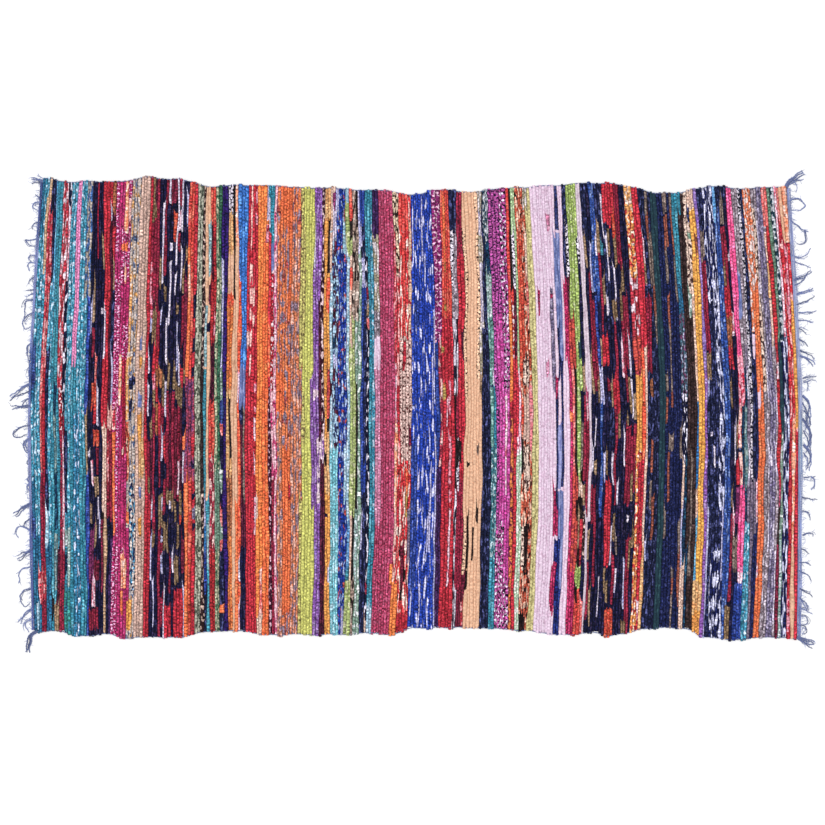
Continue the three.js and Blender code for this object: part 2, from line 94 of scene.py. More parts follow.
# The rags: cloth colour, colour of the print or of the wrong side, its share, length of a fleck in mm,
# and for some a third colour with its share.
RAGS = {
    "slate": ("6f7fae", "9aa6cc", .3, 12), "slate_navy": ("44507f", "323c6c", .35, 14),
    "lavender": ("a6aed6", "868fc2", .25, 14), "denim": ("4a68a0", "32407a", .35, 12),
    "navy": ("222a4c", "565e8c", .2, 7), "navy_tick": ("1f2a56", "3e4878", .14, 4),
    "ink": ("1a1e44", "40385a", .2, 8), "navy_royal": ("24357a", "3a4f98", .2, 8),
    "indigo_navy": ("2a3260", "3c467c", .2, 6), "royal": ("2c4c98", "5a74bc", .15, 10),
    "blue": ("34589a", "88a4d0", .12, 10), "sky": ("3a7ec2", "62a8e0", .1, 14),
    "sky_soft": ("5c9fcc", "8cc0de", .2, 8), "azure": ("2475aa", "3f92c0", .2, 9),
    "pale_azure": ("4aa2c4", "8cc8dc", .2, 9), "teal": ("208ea0", "62b6c2", .17, 15),
    "deep_teal": ("207090", "3490ac", .18, 10), "petrol": ("163c5a", "2a6c86", .2, 8),
    "turquoise": ("3a9aa6", "2a8598", .2, 14), "sea_green": ("2c9a8e", "1f7f96", .2, 9),
    "aqua": ("72bfc4", "b4dfe2", .2, 9), "aqua_grey": ("86b0b0", "b8d0cc", .25, 8),
    "aqua_print": ("a4c8d6", "3a4a78", .36, 6, "5a1a34", .14), "pale_aqua": ("98c4d0", "d0e4ea", .3, 9),
    "teal_splash": ("2490a6", "68b6c6", .3, 6, "c4dee8", .1),
    "teal_lilac": ("2a88a6", "1f7c98", .3, 8, "cfdcec", .12),
    "teal_mauve": ("4a6a78", "7a4a6a", .3, 5, "a8b0c0", .12), "royal_white": ("2850b0", "d3d8f0", .11, 16),
    "royal_spot": ("1f4aa4", "a8c0dc", .14, 7, "c8604a", .05), "navy_white": ("222b5c", "d3d8ea", .34, 12),
    "ink_white": ("1d2044", "e6e6ee", .24, 9), "speckle": ("28325e", "ccd2e6", .43, 11),
    "white_ink": ("dcd8dc", "26243a", .36, 2.4), "ink_streak": ("d0cdd2", "26243a", .45, 14),
    "white_petrol": ("c8d0d0", "24505e", .5, 5), "indigo": ("44287a", "2e2460", .25, 6),
    "purple": ("9464ae", "b498c8", .2, 8), "lilac": ("a58cc4", "8a68b4", .25, 8),
    "violet_ink": ("4a2e62", "66467c", .2, 8), "plum": ("86386a", "a04a7c", .25, 8),
    "orchid": ("c8489c", "e07cc0", .2, 8), "orchid_tick": ("c25ea8", "421e50", .32, 1.6),
    "orchid_ink": ("c45aa2", "2a1a34", .3, 3, "eadfe8", .16), "magenta": ("b82a6e", "cc4c8a", .15, 10),
    "magenta_fleck": ("b21c6c", "f0bcd8", .22, 1.5), "magenta_cream": ("9c2f7c", "f0c8d8", .2, 2.5),
    "raspberry": ("b01e5e", "d8487e", .2, 8), "cerise": ("a8143f", "c03058", .2, 10),
    "pink": ("e595bc", "d680ac", .2, 10), "hot_pink": ("e4548e", "f08ab4", .18, 9),
    "salmon": ("ee8c92", "f4b0b0", .2, 9), "rose": ("c24a70", "d2688a", .28, 5),
    "rose_pink": ("d88caa", "e6b0c4", .25, 7), "pale_pink": ("e6d4de", "dac0ce", .2, 5),
    "blush": ("e8a2ae", "c83050", .3, 7), "blush_white": ("eed4da", "cf6a80", .25, 8),
    "blush_cream": ("ecc2b2", "c2304a", .22, 12), "blush_rose": ("e6bcc0", "c8487c", .3, 12),
    "cream_blush": ("e0ccd0", "9a6ab0", .25, 8), "chalk_pink": ("ded2d6", "cab8c0", .2, 6),
    "red": ("cc3044", "ae2238", .2, 10), "brick": ("c4343a", "a02230", .25, 8),
    "crimson": ("aa2c4e", "8a2442", .3, 9), "maroon": ("782440", "943050", .3, 9),
    "wine": ("54203a", "78304a", .3, 7), "wine_twist": ("4a1630", "d8b4bc", .22, 4),
    "wine_cream": ("4a1a30", "e8d0cc", .35, 6), "red_blush": ("c23c4c", "e8a8a4", .3, 9),
    "red_cream": ("b83848", "dccacc", .3, 11), "red_streak": ("d22e3c", "f2b8b0", .28, 12),
    "red_twist": ("a81e30", "e8d2d0", .3, 4), "coral": ("da6c66", "e8a498", .25, 8),
    "coral_red": ("e4483e", "ee7060", .2, 10), "vermilion": ("d05844", "a03a48", .25, 8),
    "red_orange": ("da4c3c", "e88060", .22, 9), "mauve_red": ("b4506a", "7a4a74", .35, 7),
    "rose_cream": ("b03a50", "e8c4b8", .25, 10), "orange": ("ee7c34", "f49a58", .2, 8),
    "orange_cream": ("e08048", "e8d8cc", .35, 6), "flame": ("e65a2c", "f2905a", .25, 8),
    "tangerine": ("f4942e", "e47a26", .22, 8), "flame_orange": ("ee7424", "f49440", .2, 9),
    "rust": ("a8644a", "8a5040", .25, 7), "rust_red": ("c8482a", "e27850", .25, 7),
    "orange_rust": ("f08034", "d86a2c", .2, 10), "rust_print": ("e88a44", "9a8a98", .36, 10, "a04a48", .1),
    "mauve_print": ("d08250", "8e7c88", .38, 10, "e2b49c", .16),
    "rust_cream": ("c8603c", "ecc8a8", .28, 8, "3a2020", .1), "rust_tan": ("b87848", "8a5a3a", .3, 6),
    "peach_orange": ("f0b088", "f0905c", .25, 8, "f6dcc8", .16), "gold": ("e8a838", "d49030", .2, 8),
    "yellow": ("f0b830", "dc9c2c", .18, 5), "ochre": ("e08a34", "d06a26", .3, 9),
    "gold_tan": ("e0b878", "d49a58", .25, 8), "gold_twist": ("e09c3e", "c03438", .36, 5, "f4e6cc", .1),
    "gold_violet": ("e08a34", "8a2a50", .35, 6), "gold_ivory": ("e0a858", "e0ccb8", .3, 6),
    "olive_gold": ("b8a04a", "d86a3a", .25, 6), "lime": ("d2d660", "b4b854", .12, 5),
    "lime_olive": ("c8c464", "8a7a48", .18, 4), "yellow_lime": ("d2cc88", "a8a060", .12, 5),
    "lime_green": ("a4b668", "d0d4a4", .18, 6), "green_lime": ("a2bc58", "ccd8a0", .1, 5),
    "light_green": ("a2c28a", "bcd2a6", .2, 6), "pale_green": ("acc8a4", "dfe2d4", .3, 6),
    "sage": ("82a28c", "d4dcd4", .2, 7), "sage_twist": ("b2b69e", "5c6654", .3, 7),
    "sage_fleck": ("b4b894", "4a7a5a", .3, 5), "sage_grey": ("5c8488", "9ab0a8", .3, 8),
    "pale_sage": ("90b0a4", "d0dcd8", .2, 6), "green": ("6a9278", "84a48c", .2, 6),
    "forest": ("3a7656", "56906a", .25, 6), "bottle": ("284a54", "3a6468", .12, 4),
    "mint": ("5c9488", "98c0b4", .25, 6), "mint_teal": ("3f8088", "b4d0d0", .25, 5),
    "white": ("dcd6de", "b0acc0", .26, 8), "lavender_white": ("c8c8e0", "9aa0c6", .3, 9),
    "cream": ("e2c8b0", "cca890", .25, 6), "cream_peach": ("e4bc94", "d0a47c", .22, 6),
    "peach": ("e8c096", "d8ae86", .14, 4), "peach_ink": ("f0caa0", "3a2c2c", .12, 2),
    "beige": ("d4b6a0", "c4a896", .25, 6), "beige_red": ("d8b898", "b0283c", .16, 5),
    "camel": ("ceb088", "b8946a", .25, 8), "tan": ("b09674", "907650", .3, 6),
    "khaki": ("9c8460", "78603e", .3, 5), "taupe": ("948678", "6e5e58", .3, 6),
    "taupe_grey": ("8e8288", "c4bcc0", .22, 6), "mauve_grey": ("8c8090", "706880", .25, 6),
    "slate_violet": ("766e8a", "a8a2b4", .3, 6), "black": ("282020", "443636", .2, 6),
    "brown_black": ("2a1c1c", "4a3430", .25, 6), "umber": ("44322f", "5c4846", .2, 5),
    "brown_twist": ("442a2c", "d4bca8", .25, 4), "cream_umber": ("e2ccb4", "5a3c36", .28, 4),
    "cream_ink": ("e0cca8", "3a2820", .35, 5), "olive_white": ("a8a284", "dcd6d2", .3, 9),
    "ivory_print": ("c2b8aa", "566c8c", .16, 8, "c89848", .1),
    "ivory_blue": ("d0c8ba", "22325f", .46, 5, "58a8c4", .2), "tan_royal": ("b0a898", "4474a8", .42, 9),
    "tan_crimson": ("dcc0b0", "74403c", .2, 2.5),
    "red_cream_print": ("d6363c", "ecd6c4", .3, 14, "3a2430", .06),
    "brown_fleck": ("a89280", "d8ccb8", .28, 10, "3a2c28", .2),
}

# The weaver's chart, band by band along the rug: rag, first strip, strip it ends before, and where the run
# starts and ends in hundredths of the way from the middle to the upper (+) or lower (-) selvedge.
# A later run lies over an earlier one.
CHART = [
    ("deep_teal", 0, 1, 100, -100), ("teal_splash", 0, 1, 78, 34), ("denim", 0, 1, 30, 12),
    ("teal_splash", 0, 1, 4, -30), ("denim", 0, 1, -46, -56), ("teal_splash", 1, 3, 100, -55),
    ("deep_teal", 1, 3, -55, -100), ("pale_aqua", 1, 2, -85, -96), ("red_blush", 3, 5, 100, 20),
    ("coral", 3, 4, 20, -25), ("red", 4, 5, 20, -25), ("crimson", 3, 5, -25, -100),
    ("red_blush", 2, 5, -70, -84), ("camel", 2, 3, 97, 62), ("camel", 3, 4, 100, 93),
    ("navy", 4, 5, 100, 88), ("navy", 5, 6, 100, 58), ("teal_splash", 5, 6, 58, 28),
    ("navy", 5, 6, 28, -44), ("pale_aqua", 5, 6, -46, -60), ("pale_azure", 6, 7, 100, 55),
    ("teal_splash", 6, 7, 55, -60), ("deep_teal", 5, 7, -60, -100), ("teal", 7, 10, 12, -100),
    ("turquoise", 7, 9, 100, 12), ("petrol", 8, 9, 13, 0), ("sage_grey", 8, 9, 0, -27),
    ("petrol", 8, 9, -28, -53), ("sage_grey", 8, 9, -54, -80), ("black", 7, 8, -82, -93),
    ("wine", 9, 10, -60, -86), ("tan", 8, 10, -86, -99), ("red_cream", 9, 11, 100, 12),
    ("red_twist", 10, 11, 12, -8), ("crimson", 10, 12, -8, -100), ("blush_white", 11, 12, -10, -62),
    ("ink_white", 11, 12, 100, 0), ("blush_white", 11, 12, 90, 60), ("teal_splash", 12, 14, 100, -50),
    ("teal", 12, 14, -50, -100), ("navy", 12, 13, -8, -46), ("pale_sage", 12, 14, -52, -60),
    ("pale_sage", 13, 14, -60, -78), ("petrol", 12, 13, -64, -72), ("sea_green", 12, 14, -80, -100),
    ("teal", 14, 16, 100, -100), ("pink", 14, 16, 100, 22), ("teal_splash", 16, 19, 100, -15),
    ("teal", 16, 19, -15, -100), ("teal_lilac", 15, 17, 0, -100), ("tan_royal", 18, 20, 100, 52),
    ("royal", 19, 20, 52, 0), ("tan", 19, 20, -2, -27), ("royal", 19, 20, -27, -100),
    ("ink", 20, 25, 100, -100), ("lavender_white", 20, 21, 50, 35), ("cerise", 22, 23, 100, 68),
    ("tan", 21, 22, 61, 40), ("crimson", 21, 22, 38, 26), ("coral", 22, 23, 25, 13),
    ("rust_red", 21, 23, 13, 2), ("red", 22, 23, 2, -5), ("white", 23, 24, 12, -6),
    ("rust_red", 22, 24, -8, -15), ("crimson", 23, 24, -15, -28), ("white", 20, 21, -17, -20),
    ("blush_white", 21, 22, -22, -33), ("tan", 22, 24, -29, -38), ("tan", 20, 21, -40, -50),
    ("white", 23, 24, -38, -48), ("tan", 22, 23, -50, -61), ("plum", 20, 22, -52, -75),
    ("maroon", 22, 24, -66, -75), ("blush_white", 21, 23, -75, -88), ("crimson", 20, 24, -88, -97),
    ("white", 24, 25, 47, 44), ("red", 25, 27, 100, -8), ("tan", 24, 25, 78, 65), ("white", 25, 26, 45, 25),
    ("wine", 27, 28, 85, -2), ("red", 27, 28, 100, 92), ("white", 27, 28, 92, 84),
    ("blush_cream", 27, 28, 2, -30), ("cream", 25, 27, -6, -48), ("lavender_white", 24, 25, -46, -55),
    ("black", 25, 26, -43, -48), ("crimson", 27, 28, -8, -47), ("red_blush", 27, 28, -12, -31),
    ("camel", 26, 27, -48, -100), ("ink", 25, 26, -80, -100), ("maroon", 25, 26, -66, -80),
    ("ink", 27, 29, -48, -100), ("magenta", 29, 34, 100, -100), ("magenta_fleck", 29, 30, 100, 72),
    ("magenta_fleck", 33, 34, 100, 60), ("magenta_fleck", 31, 33, 82, 58),
    ("magenta_fleck", 29, 31, 60, -5), ("magenta_fleck", 32, 34, 40, 5), ("magenta_fleck", 30, 31, -5, -30),
    ("magenta_fleck", 30, 31, -30, -60), ("magenta_fleck", 29, 31, -60, -100),
    ("magenta_fleck", 32, 33, -62, -80), ("cerise", 32, 34, 25, -20), ("rust_tan", 28, 29, 100, 88),
    ("wine", 28, 29, 88, 82), ("red", 28, 29, 82, 67), ("tan", 28, 29, 65, 54), ("navy", 28, 29, 54, 26),
    ("lavender_white", 28, 29, 26, 4), ("blush_cream", 28, 30, 3, -8), ("crimson", 28, 29, -8, -48),
    ("orange", 29, 30, -8, -55), ("violet_ink", 28, 29, -56, -100), ("peach_orange", 32, 33, 100, 78),
    ("orange", 31, 33, 75, 71), ("peach_orange", 32, 33, 66, 58), ("peach_orange", 31, 32, 25, 5),
    ("peach_orange", 32, 34, -64, -80), ("orange", 32, 33, -81, -90), ("blush_cream", 33, 34, 95, 85),
    ("cream", 32, 33, -16, -20),

    ("ivory_print", 34, 38, 100, -100), ("ivory_blue", 35, 37, -28, -80), ("gold_ivory", 34, 35, 62, -4),
    ("rust_cream", 34, 35, -4, -30), ("orange", 34, 35, -44, -50), ("gold", 34, 36, -84, -97),
    ("magenta", 34, 35, -52, -84), ("navy", 35, 37, 16, 11), ("navy", 35, 36, 6, -2),
    ("beige", 37, 40, 100, -100), ("slate", 38, 39, 33, 27), ("gold", 38, 39, 24, 20),
    ("slate", 38, 39, 8, 2), ("gold", 38, 39, 0, -12), ("gold_tan", 38, 40, -12, -28),
    ("slate", 38, 39, -34, -39), ("gold", 38, 39, -46, -54), ("red", 40, 41, 100, -38),
    ("red", 40, 42, -38, -100), ("ink", 44, 55, 100, -100), ("crimson", 41, 42, 100, 36),
    ("wine", 42, 43, 100, 36), ("crimson", 43, 44, 100, 36), ("ink", 41, 43, 36, -12),
    ("crimson", 41, 42, -12, -40), ("wine", 42, 43, -12, -40), ("crimson", 43, 44, -12, -40),
    ("ink", 42, 45, -48, -100), ("khaki", 41, 42, 99, 84), ("khaki", 42, 43, 92, 80),
    ("crimson", 43, 44, 100, 73), ("crimson", 42, 43, 85, 50), ("blush", 41, 42, 67, 43),
    ("khaki", 44, 45, 68, 57), ("khaki", 42, 44, 46, 32), ("lavender_white", 41, 42, 42, 36),
    ("white", 41, 42, 27, 17), ("white", 41, 42, 13, 0), ("red", 43, 45, 31, 5), ("blush", 43, 44, 17, 8),
    ("khaki", 43, 44, 9, 3), ("rust_tan", 44, 46, 20, 12), ("rust_tan", 44, 45, 3, -9),
    ("khaki", 42, 43, -2, -11), ("khaki", 41, 42, -28, -37), ("crimson", 43, 44, -12, -55),
    ("white", 42, 43, -39, -48), ("lavender_white", 42, 43, -55, -74), ("khaki", 43, 44, -54, -60),
    ("lavender_white", 43, 44, -75, -95), ("white", 45, 46, 93, 58), ("crimson", 46, 47, 100, 60),
    ("white", 47, 48, 100, 93), ("maroon", 48, 50, 100, 93), ("rust_red", 49, 50, 88, 76),
    ("white", 50, 51, 100, 65), ("crimson", 51, 52, 100, 90), ("white", 52, 53, 98, 80),
    ("blush_white", 51, 52, 90, 80), ("crimson", 51, 52, 80, 72), ("lavender_white", 54, 55, 97, 84),
    ("white", 52, 53, 73, 55), ("khaki", 54, 55, 73, 68), ("khaki", 53, 54, 65, 53),
    ("white", 48, 49, 75, 72), ("white", 48, 49, 67, 50), ("white", 50, 51, 62, 52),
    ("khaki", 46, 47, 57, 50), ("white", 48, 49, 55, 40), ("white", 47, 48, 42, 22),
    ("crimson", 44, 45, 46, 30), ("lavender_white", 45, 46, 46, 40), ("khaki", 51, 52, 48, 44),
    ("lavender_white", 51, 52, 40, 20), ("white", 52, 53, 28, 12), ("crimson", 53, 54, 52, 30),
    ("maroon", 54, 55, 60, 20), ("red", 53, 54, 20, 12), ("khaki", 54, 55, 20, 13),
    ("khaki", 48, 49, 23, 10), ("khaki", 50, 51, 22, 10), ("khaki", 46, 47, 17, 4),
    ("white", 47, 48, 14, -2), ("khaki", 51, 52, 13, 6), ("khaki", 52, 54, 12, 2),
    ("crimson", 48, 49, 9, -35), ("wine", 49, 50, 9, -34), ("crimson", 50, 51, 9, -35),
    ("maroon", 51, 52, 2, -40), ("crimson", 52, 53, 2, -40), ("wine", 53, 54, 2, -40),
    ("crimson", 46, 47, 4, -8), ("red", 45, 46, 5, -10), ("white", 46, 47, -8, -20),
    ("red", 47, 48, -10, -22), ("crimson", 47, 48, -30, -46), ("crimson", 45, 46, -10, -33),
    ("blush_white", 52, 53, -22, -37), ("khaki", 45, 47, -36, -52), ("white", 46, 47, -37, -43),
    ("khaki", 48, 50, -34, -40), ("white", 49, 50, -40, -44), ("khaki", 50, 51, -35, -44),
    ("khaki", 53, 54, -36, -46), ("rust_red", 53, 54, -46, -50), ("khaki", 51, 52, -40, -50),
    ("khaki", 47, 49, -50, -62), ("lavender_white", 46, 47, -55, -72), ("crimson", 45, 46, -52, -100),
    ("crimson", 46, 47, -58, -64), ("white", 50, 51, -62, -72), ("khaki", 52, 53, -50, -62),
    ("khaki", 51, 53, -65, -77), ("crimson", 49, 50, -65, -80), ("maroon", 54, 55, -55, -72),
    ("red", 51, 54, -80, -100), ("white", 47, 48, -78, -100), ("crimson", 46, 47, -83, -95),
    ("red", 48, 50, -86, -100), ("lavender_white", 54, 55, -78, -100), ("orange", 55, 56, 100, -100),
    ("red_orange", 56, 57, 100, -100), ("red", 57, 58, 100, -100), ("red_orange", 55, 56, 100, 72),
    ("peach_orange", 55, 56, 66, 50), ("mauve_red", 55, 58, 15, -30), ("ink", 54, 55, 12, -35),
    ("orange", 54, 55, -10, -17), ("white", 54, 55, -18, -32), ("ink", 57, 58, 52, 42),
    ("ink", 57, 58, 33, 27), ("ink", 57, 58, 20, 16), ("red", 57, 58, -10, -20), ("ink", 57, 58, -22, -25),
    ("ink", 57, 58, -36, -39), ("slate_violet", 57, 58, -42, -48), ("ink", 57, 58, -50, -54),
    ("rust_red", 56, 57, -70, -95),

    ("sage_twist", 58, 60, 100, -100), ("brown_twist", 60, 61, 100, -100), ("umber", 60, 61, 20, -35),
    ("cream_peach", 61, 63, 100, -38), ("aqua_grey", 62, 63, 85, 60), ("wine", 62, 63, 57, 48),
    ("ink", 62, 63, 40, 36), ("aqua_grey", 61, 62, 48, 20), ("turquoise", 61, 62, 20, -40),
    ("lavender_white", 61, 62, -38, -50), ("turquoise", 62, 63, -40, -100), ("azure", 61, 62, -50, -62),
    ("aqua_grey", 62, 63, -50, -70), ("royal", 61, 62, -63, -80), ("navy", 61, 62, -80, -100),
    ("brick", 63, 65, 100, -100), ("red_orange", 63, 65, 100, 84), ("wine", 63, 64, 84, 60),
    ("blush", 64, 65, 45, 33), ("wine", 63, 65, 30, 5), ("red_orange", 63, 65, 5, -20),
    ("rose_cream", 63, 65, -20, -62), ("sage_fleck", 65, 67, 100, -100), ("forest", 66, 67, 100, 66),
    ("forest", 66, 67, 36, -22), ("green", 65, 67, -25, -62), ("indigo", 67, 68, 100, 68),
    ("lavender_white", 67, 68, 68, 20), ("sage", 67, 68, 20, 6), ("denim", 67, 68, 6, -5),
    ("coral", 67, 68, -5, -10), ("ink", 67, 68, -10, -25), ("sage", 67, 68, -25, -35),
    ("ink", 67, 68, -35, -43), ("coral", 67, 68, -43, -50), ("sage", 67, 68, -50, -57),
    ("coral", 67, 68, -57, -62), ("navy", 67, 68, -62, -100), ("orange", 67, 68, -87, -90),
    ("indigo", 68, 69, 100, -30), ("indigo", 68, 69, -30, -100), ("white_ink", 69, 71, 100, 88),
    ("gold_tan", 69, 71, 88, 70), ("cream_peach", 69, 71, 70, 52), ("flame", 69, 71, 52, 47),
    ("ochre", 69, 71, 47, 10), ("gold_tan", 69, 71, 10, -28), ("rust_tan", 69, 71, -28, -56),
    ("ochre", 69, 71, -56, -100), ("cream_peach", 71, 73, 100, -100), ("black", 71, 72, 100, 50),
    ("black", 70, 71, 7, -20), ("orange", 72, 73, -40, -100), ("peach_orange", 72, 73, 100, 75),
    ("flame", 73, 74, 60, -100), ("sky", 73, 76, 100, 60), ("sky", 74, 76, 60, 20),
    ("slate", 74, 76, 20, 2), ("blush_white", 73, 74, 18, 6), ("navy", 74, 75, 2, -8),
    ("wine", 74, 75, -5, -60), ("taupe", 75, 76, 2, -40), ("wine", 75, 76, -40, -60),
    ("ink", 74, 76, -60, -100), ("white", 73, 74, -66, -76), ("blush_white", 73, 74, -85, -97),
    ("red", 76, 80, 100, -100), ("blush_cream", 77, 78, 100, 72), ("blush_cream", 77, 78, 66, 56),
    ("blush_cream", 77, 79, 55, 48), ("blush_cream", 77, 78, 46, 40), ("blush_cream", 78, 79, 44, 38),
    ("blush_cream", 76, 78, 36, 30), ("blush_cream", 77, 78, 26, 15), ("blush", 79, 80, 97, 92),
    ("blush", 79, 80, 87, 83), ("blush", 79, 80, 13, 8), ("blush", 79, 80, 3, 0),
    ("blush_white", 79, 80, -2, -12), ("blush_white", 79, 80, -20, -28), ("blush_white", 79, 80, -38, -55),
    ("tangerine", 80, 84, 100, -100), ("flame_orange", 82, 84, 75, -100),
    ("lavender_white", 83, 84, 100, 85), ("blush", 83, 84, 82, 75), ("cream", 80, 81, -37, -48),
    ("blush_cream", 81, 82, -70, -93), ("cream", 80, 82, -92, -100), ("coral", 81, 82, -77, -89),

    ("teal", 84, 86, 100, 75), ("white", 84, 85, 95, 82), ("slate", 85, 86, 75, 53),
    ("red", 84, 85, 80, 10), ("red_twist", 85, 86, 62, 10), ("flame", 84, 85, 40, 15),
    ("wine_twist", 84, 85, 10, -100), ("blush_rose", 86, 88, 100, -100), ("blush_rose", 85, 87, 10, -30),
    ("crimson", 85, 86, -30, -100), ("rust_print", 87, 96, 100, -100), ("mauve_print", 92, 96, 80, 20),
    ("orange_rust", 88, 92, 100, 82), ("orange_rust", 91, 92, 82, 40), ("orange_rust", 87, 90, 18, 0),
    ("orange_rust", 91, 93, 20, 5), ("orange_rust", 89, 92, -15, -90), ("red", 91, 93, -32, -38),
    ("mauve_print", 87, 89, -5, -100), ("mauve_print", 92, 96, 20, -100), ("lime", 96, 100, 100, -100),
    ("lime_olive", 95, 96, 100, 20), ("lime_olive", 95, 96, -38, -100), ("lime_olive", 96, 97, 85, 30),
    ("lime_olive", 96, 97, 10, -15), ("wine", 102, 104, 100, -100), ("purple", 100, 102, 100, -100),
    ("purple", 102, 103, 100, 50), ("white", 100, 101, 85, 65), ("purple", 99, 100, 16, -42),
    ("cream_blush", 100, 102, 10, 6), ("cream_blush", 101, 102, -12, -40), ("lilac", 100, 101, -60, -72),
    ("wine_cream", 103, 104, 100, -12), ("cream_blush", 102, 104, -12, -20),
    ("gold_tan", 104, 106, 100, 85), ("gold", 104, 106, 85, -10), ("brown_black", 105, 106, 85, 62),
    ("flame", 105, 106, 60, 44), ("vermilion", 105, 106, 20, -2), ("black", 105, 106, -3, -10),
    ("gold_tan", 104, 106, -10, -36), ("black", 104, 105, -18, -25), ("gold", 104, 106, -36, -100),
    ("ink", 104, 105, -45, -47), ("white", 105, 106, -70, -76), ("aqua_print", 107, 109, 80, -15),
    ("pale_aqua", 106, 107, 80, -15), ("cream", 106, 108, 100, 80), ("plum", 107, 108, 97, 88),
    ("white", 107, 109, 90, 78), ("wine", 108, 109, 76, 70), ("cream", 106, 107, 80, 62),
    ("petrol", 107, 108, 57, 54), ("wine", 107, 108, 47, 43), ("wine", 108, 109, 40, 34),
    ("petrol", 107, 108, 34, 28), ("lavender_white", 107, 109, 25, 20), ("wine", 107, 108, 20, 14),
    ("wine", 106, 107, 13, 6), ("denim", 108, 109, 12, 2), ("aqua", 106, 109, -15, -100),
    ("royal_spot", 109, 112, 100, -100), ("royal_spot", 108, 109, 100, 90),
    ("lavender_white", 108, 110, 100, 90), ("pale_aqua", 111, 112, 85, 70),
    ("pale_aqua", 111, 112, -15, -40), ("lavender_white", 110, 112, -88, -100),

    ("pale_aqua", 112, 113, 100, -47), ("sky_soft", 112, 113, -48, -70), ("turquoise", 112, 113, -70, -76),
    ("cream", 113, 114, 55, 30), ("lime_green", 113, 115, 30, -46), ("red_orange", 113, 114, 100, 84),
    ("lime_green", 112, 113, 93, 70), ("black", 113, 114, 84, 76), ("lime_green", 113, 114, 76, 69),
    ("cream", 113, 114, 69, 63), ("red_orange", 113, 114, 63, 55), ("cream", 113, 114, -46, -76),
    ("lime_green", 112, 114, -76, -100), ("brown_fleck", 114, 116, 100, 40),
    ("brown_black", 115, 116, 100, 84), ("lime_green", 114, 115, 42, 20), ("sage", 115, 117, 40, -100),
    ("sage", 116, 117, 80, -100), ("lavender_white", 116, 117, 100, 72), ("black", 115, 116, 14, -44),
    ("pale_sage", 115, 116, -46, -75), ("black", 114, 115, -46, -75), ("brown_fleck", 114, 115, -75, -100),
    ("royal", 117, 119, 100, 82), ("lavender_white", 117, 118, 82, 72), ("navy", 117, 119, 72, 68),
    ("navy", 118, 119, 84, 70), ("lavender_white", 117, 119, 68, 55), ("royal", 117, 119, 55, -36),
    ("navy", 118, 119, 50, -20), ("navy", 117, 119, -36, -100), ("lavender_white", 117, 118, -45, -60),
    ("ink_white", 119, 120, 70, -100), ("teal", 119, 122, 100, 70), ("teal", 120, 122, 70, -100),
    ("teal_splash", 121, 122, 90, -50), ("pale_aqua", 120, 122, -86, -100), ("crimson", 119, 120, 55, 50),
    ("tan", 119, 120, 48, 42), ("coral", 119, 120, 41, 37), ("crimson", 119, 120, -76, -81),
    ("cream", 119, 120, -92, -100), ("rose", 124, 129, 100, -100), ("rose", 122, 124, -50, -100),
    ("violet_ink", 122, 124, 100, 78), ("olive_white", 122, 124, 78, 45), ("taupe_grey", 122, 124, 45, 33),
    ("pale_pink", 122, 124, 33, 20), ("rose_pink", 122, 124, 20, -50), ("royal_white", 135, 144, 100, -100),
    ("royal", 135, 137, -12, -80), ("royal", 136, 138, 51, 38), ("red_cream_print", 130, 135, 100, -100),
    ("coral_red", 131, 134, 100, 80), ("red_streak", 130, 131, 62, -20), ("coral_red", 132, 133, 80, 34),
    ("beige_red", 134, 135, 85, 20), ("tan_crimson", 131, 135, 33, -22), ("red", 132, 133, 32, 20),
    ("red", 130, 131, 12, -10), ("flame", 133, 134, -25, -36), ("olive_gold", 133, 134, -36, -46),
    ("red", 130, 131, -36, -50), ("mauve_grey", 134, 135, -42, -68), ("maroon", 134, 135, -6, -15),
    ("black", 133, 134, -70, -76), ("black", 132, 133, -78, -84), ("maroon", 132, 133, -60, -80),
    ("red", 130, 135, -90, -100), ("cream_ink", 129, 131, 96, 62), ("red_blush", 129, 130, 80, 20),
    ("blush_white", 129, 130, 20, -5), ("peach_orange", 129, 130, -5, -45),
    ("blush_cream", 129, 130, -45, -76), ("tangerine", 128, 129, -68, -76),
    ("tangerine", 129, 131, -76, -100), ("lavender_white", 139, 140, 95, 68),
    ("lavender_white", 137, 138, -26, -35), ("lavender_white", 138, 139, -78, -95),

    ("lavender_white", 142, 143, 25, 0), ("lavender_white", 141, 142, -25, -45),
    ("lavender_white", 143, 144, 45, 22), ("lavender_white", 143, 144, -10, -100),
    ("lavender_white", 140, 142, -45, -60), ("magenta_cream", 144, 146, 100, 32),
    ("royal", 144, 145, 32, -25), ("rose_cream", 145, 146, 32, -25), ("violet_ink", 144, 146, -25, -100),
    ("red_orange", 146, 150, 100, 42), ("red", 146, 150, 42, -100), ("orange", 147, 148, 95, 65),
    ("olive_gold", 147, 148, 66, 63), ("olive_gold", 147, 148, 50, 45), ("olive_gold", 146, 147, 30, 26),
    ("olive_gold", 146, 147, 13, 6), ("blush_white", 147, 148, 7, -6), ("blush", 148, 149, 15, 0),
    ("blush", 148, 149, -10, -40), ("blush_white", 148, 149, -43, -78), ("navy", 150, 152, 100, 80),
    ("white_ink", 150, 151, 80, 55), ("taupe_grey", 151, 152, 80, 42), ("taupe_grey", 150, 151, 55, 42),
    ("ink_streak", 150, 152, 42, 8), ("black", 150, 151, 8, -35), ("crimson", 151, 152, 8, -12),
    ("white_ink", 151, 152, -12, -35), ("ink_streak", 150, 151, -35, -100),
    ("ink_streak", 151, 152, -80, -100), ("crimson", 151, 152, -35, -80), ("red", 152, 154, 100, -100),
    ("crimson", 152, 154, 100, 70), ("wine", 153, 154, 36, 25), ("black", 151, 153, -13, -23),
    ("crimson", 152, 154, -30, -80), ("maroon", 152, 154, -80, -100), ("peach", 154, 160, 100, -100),
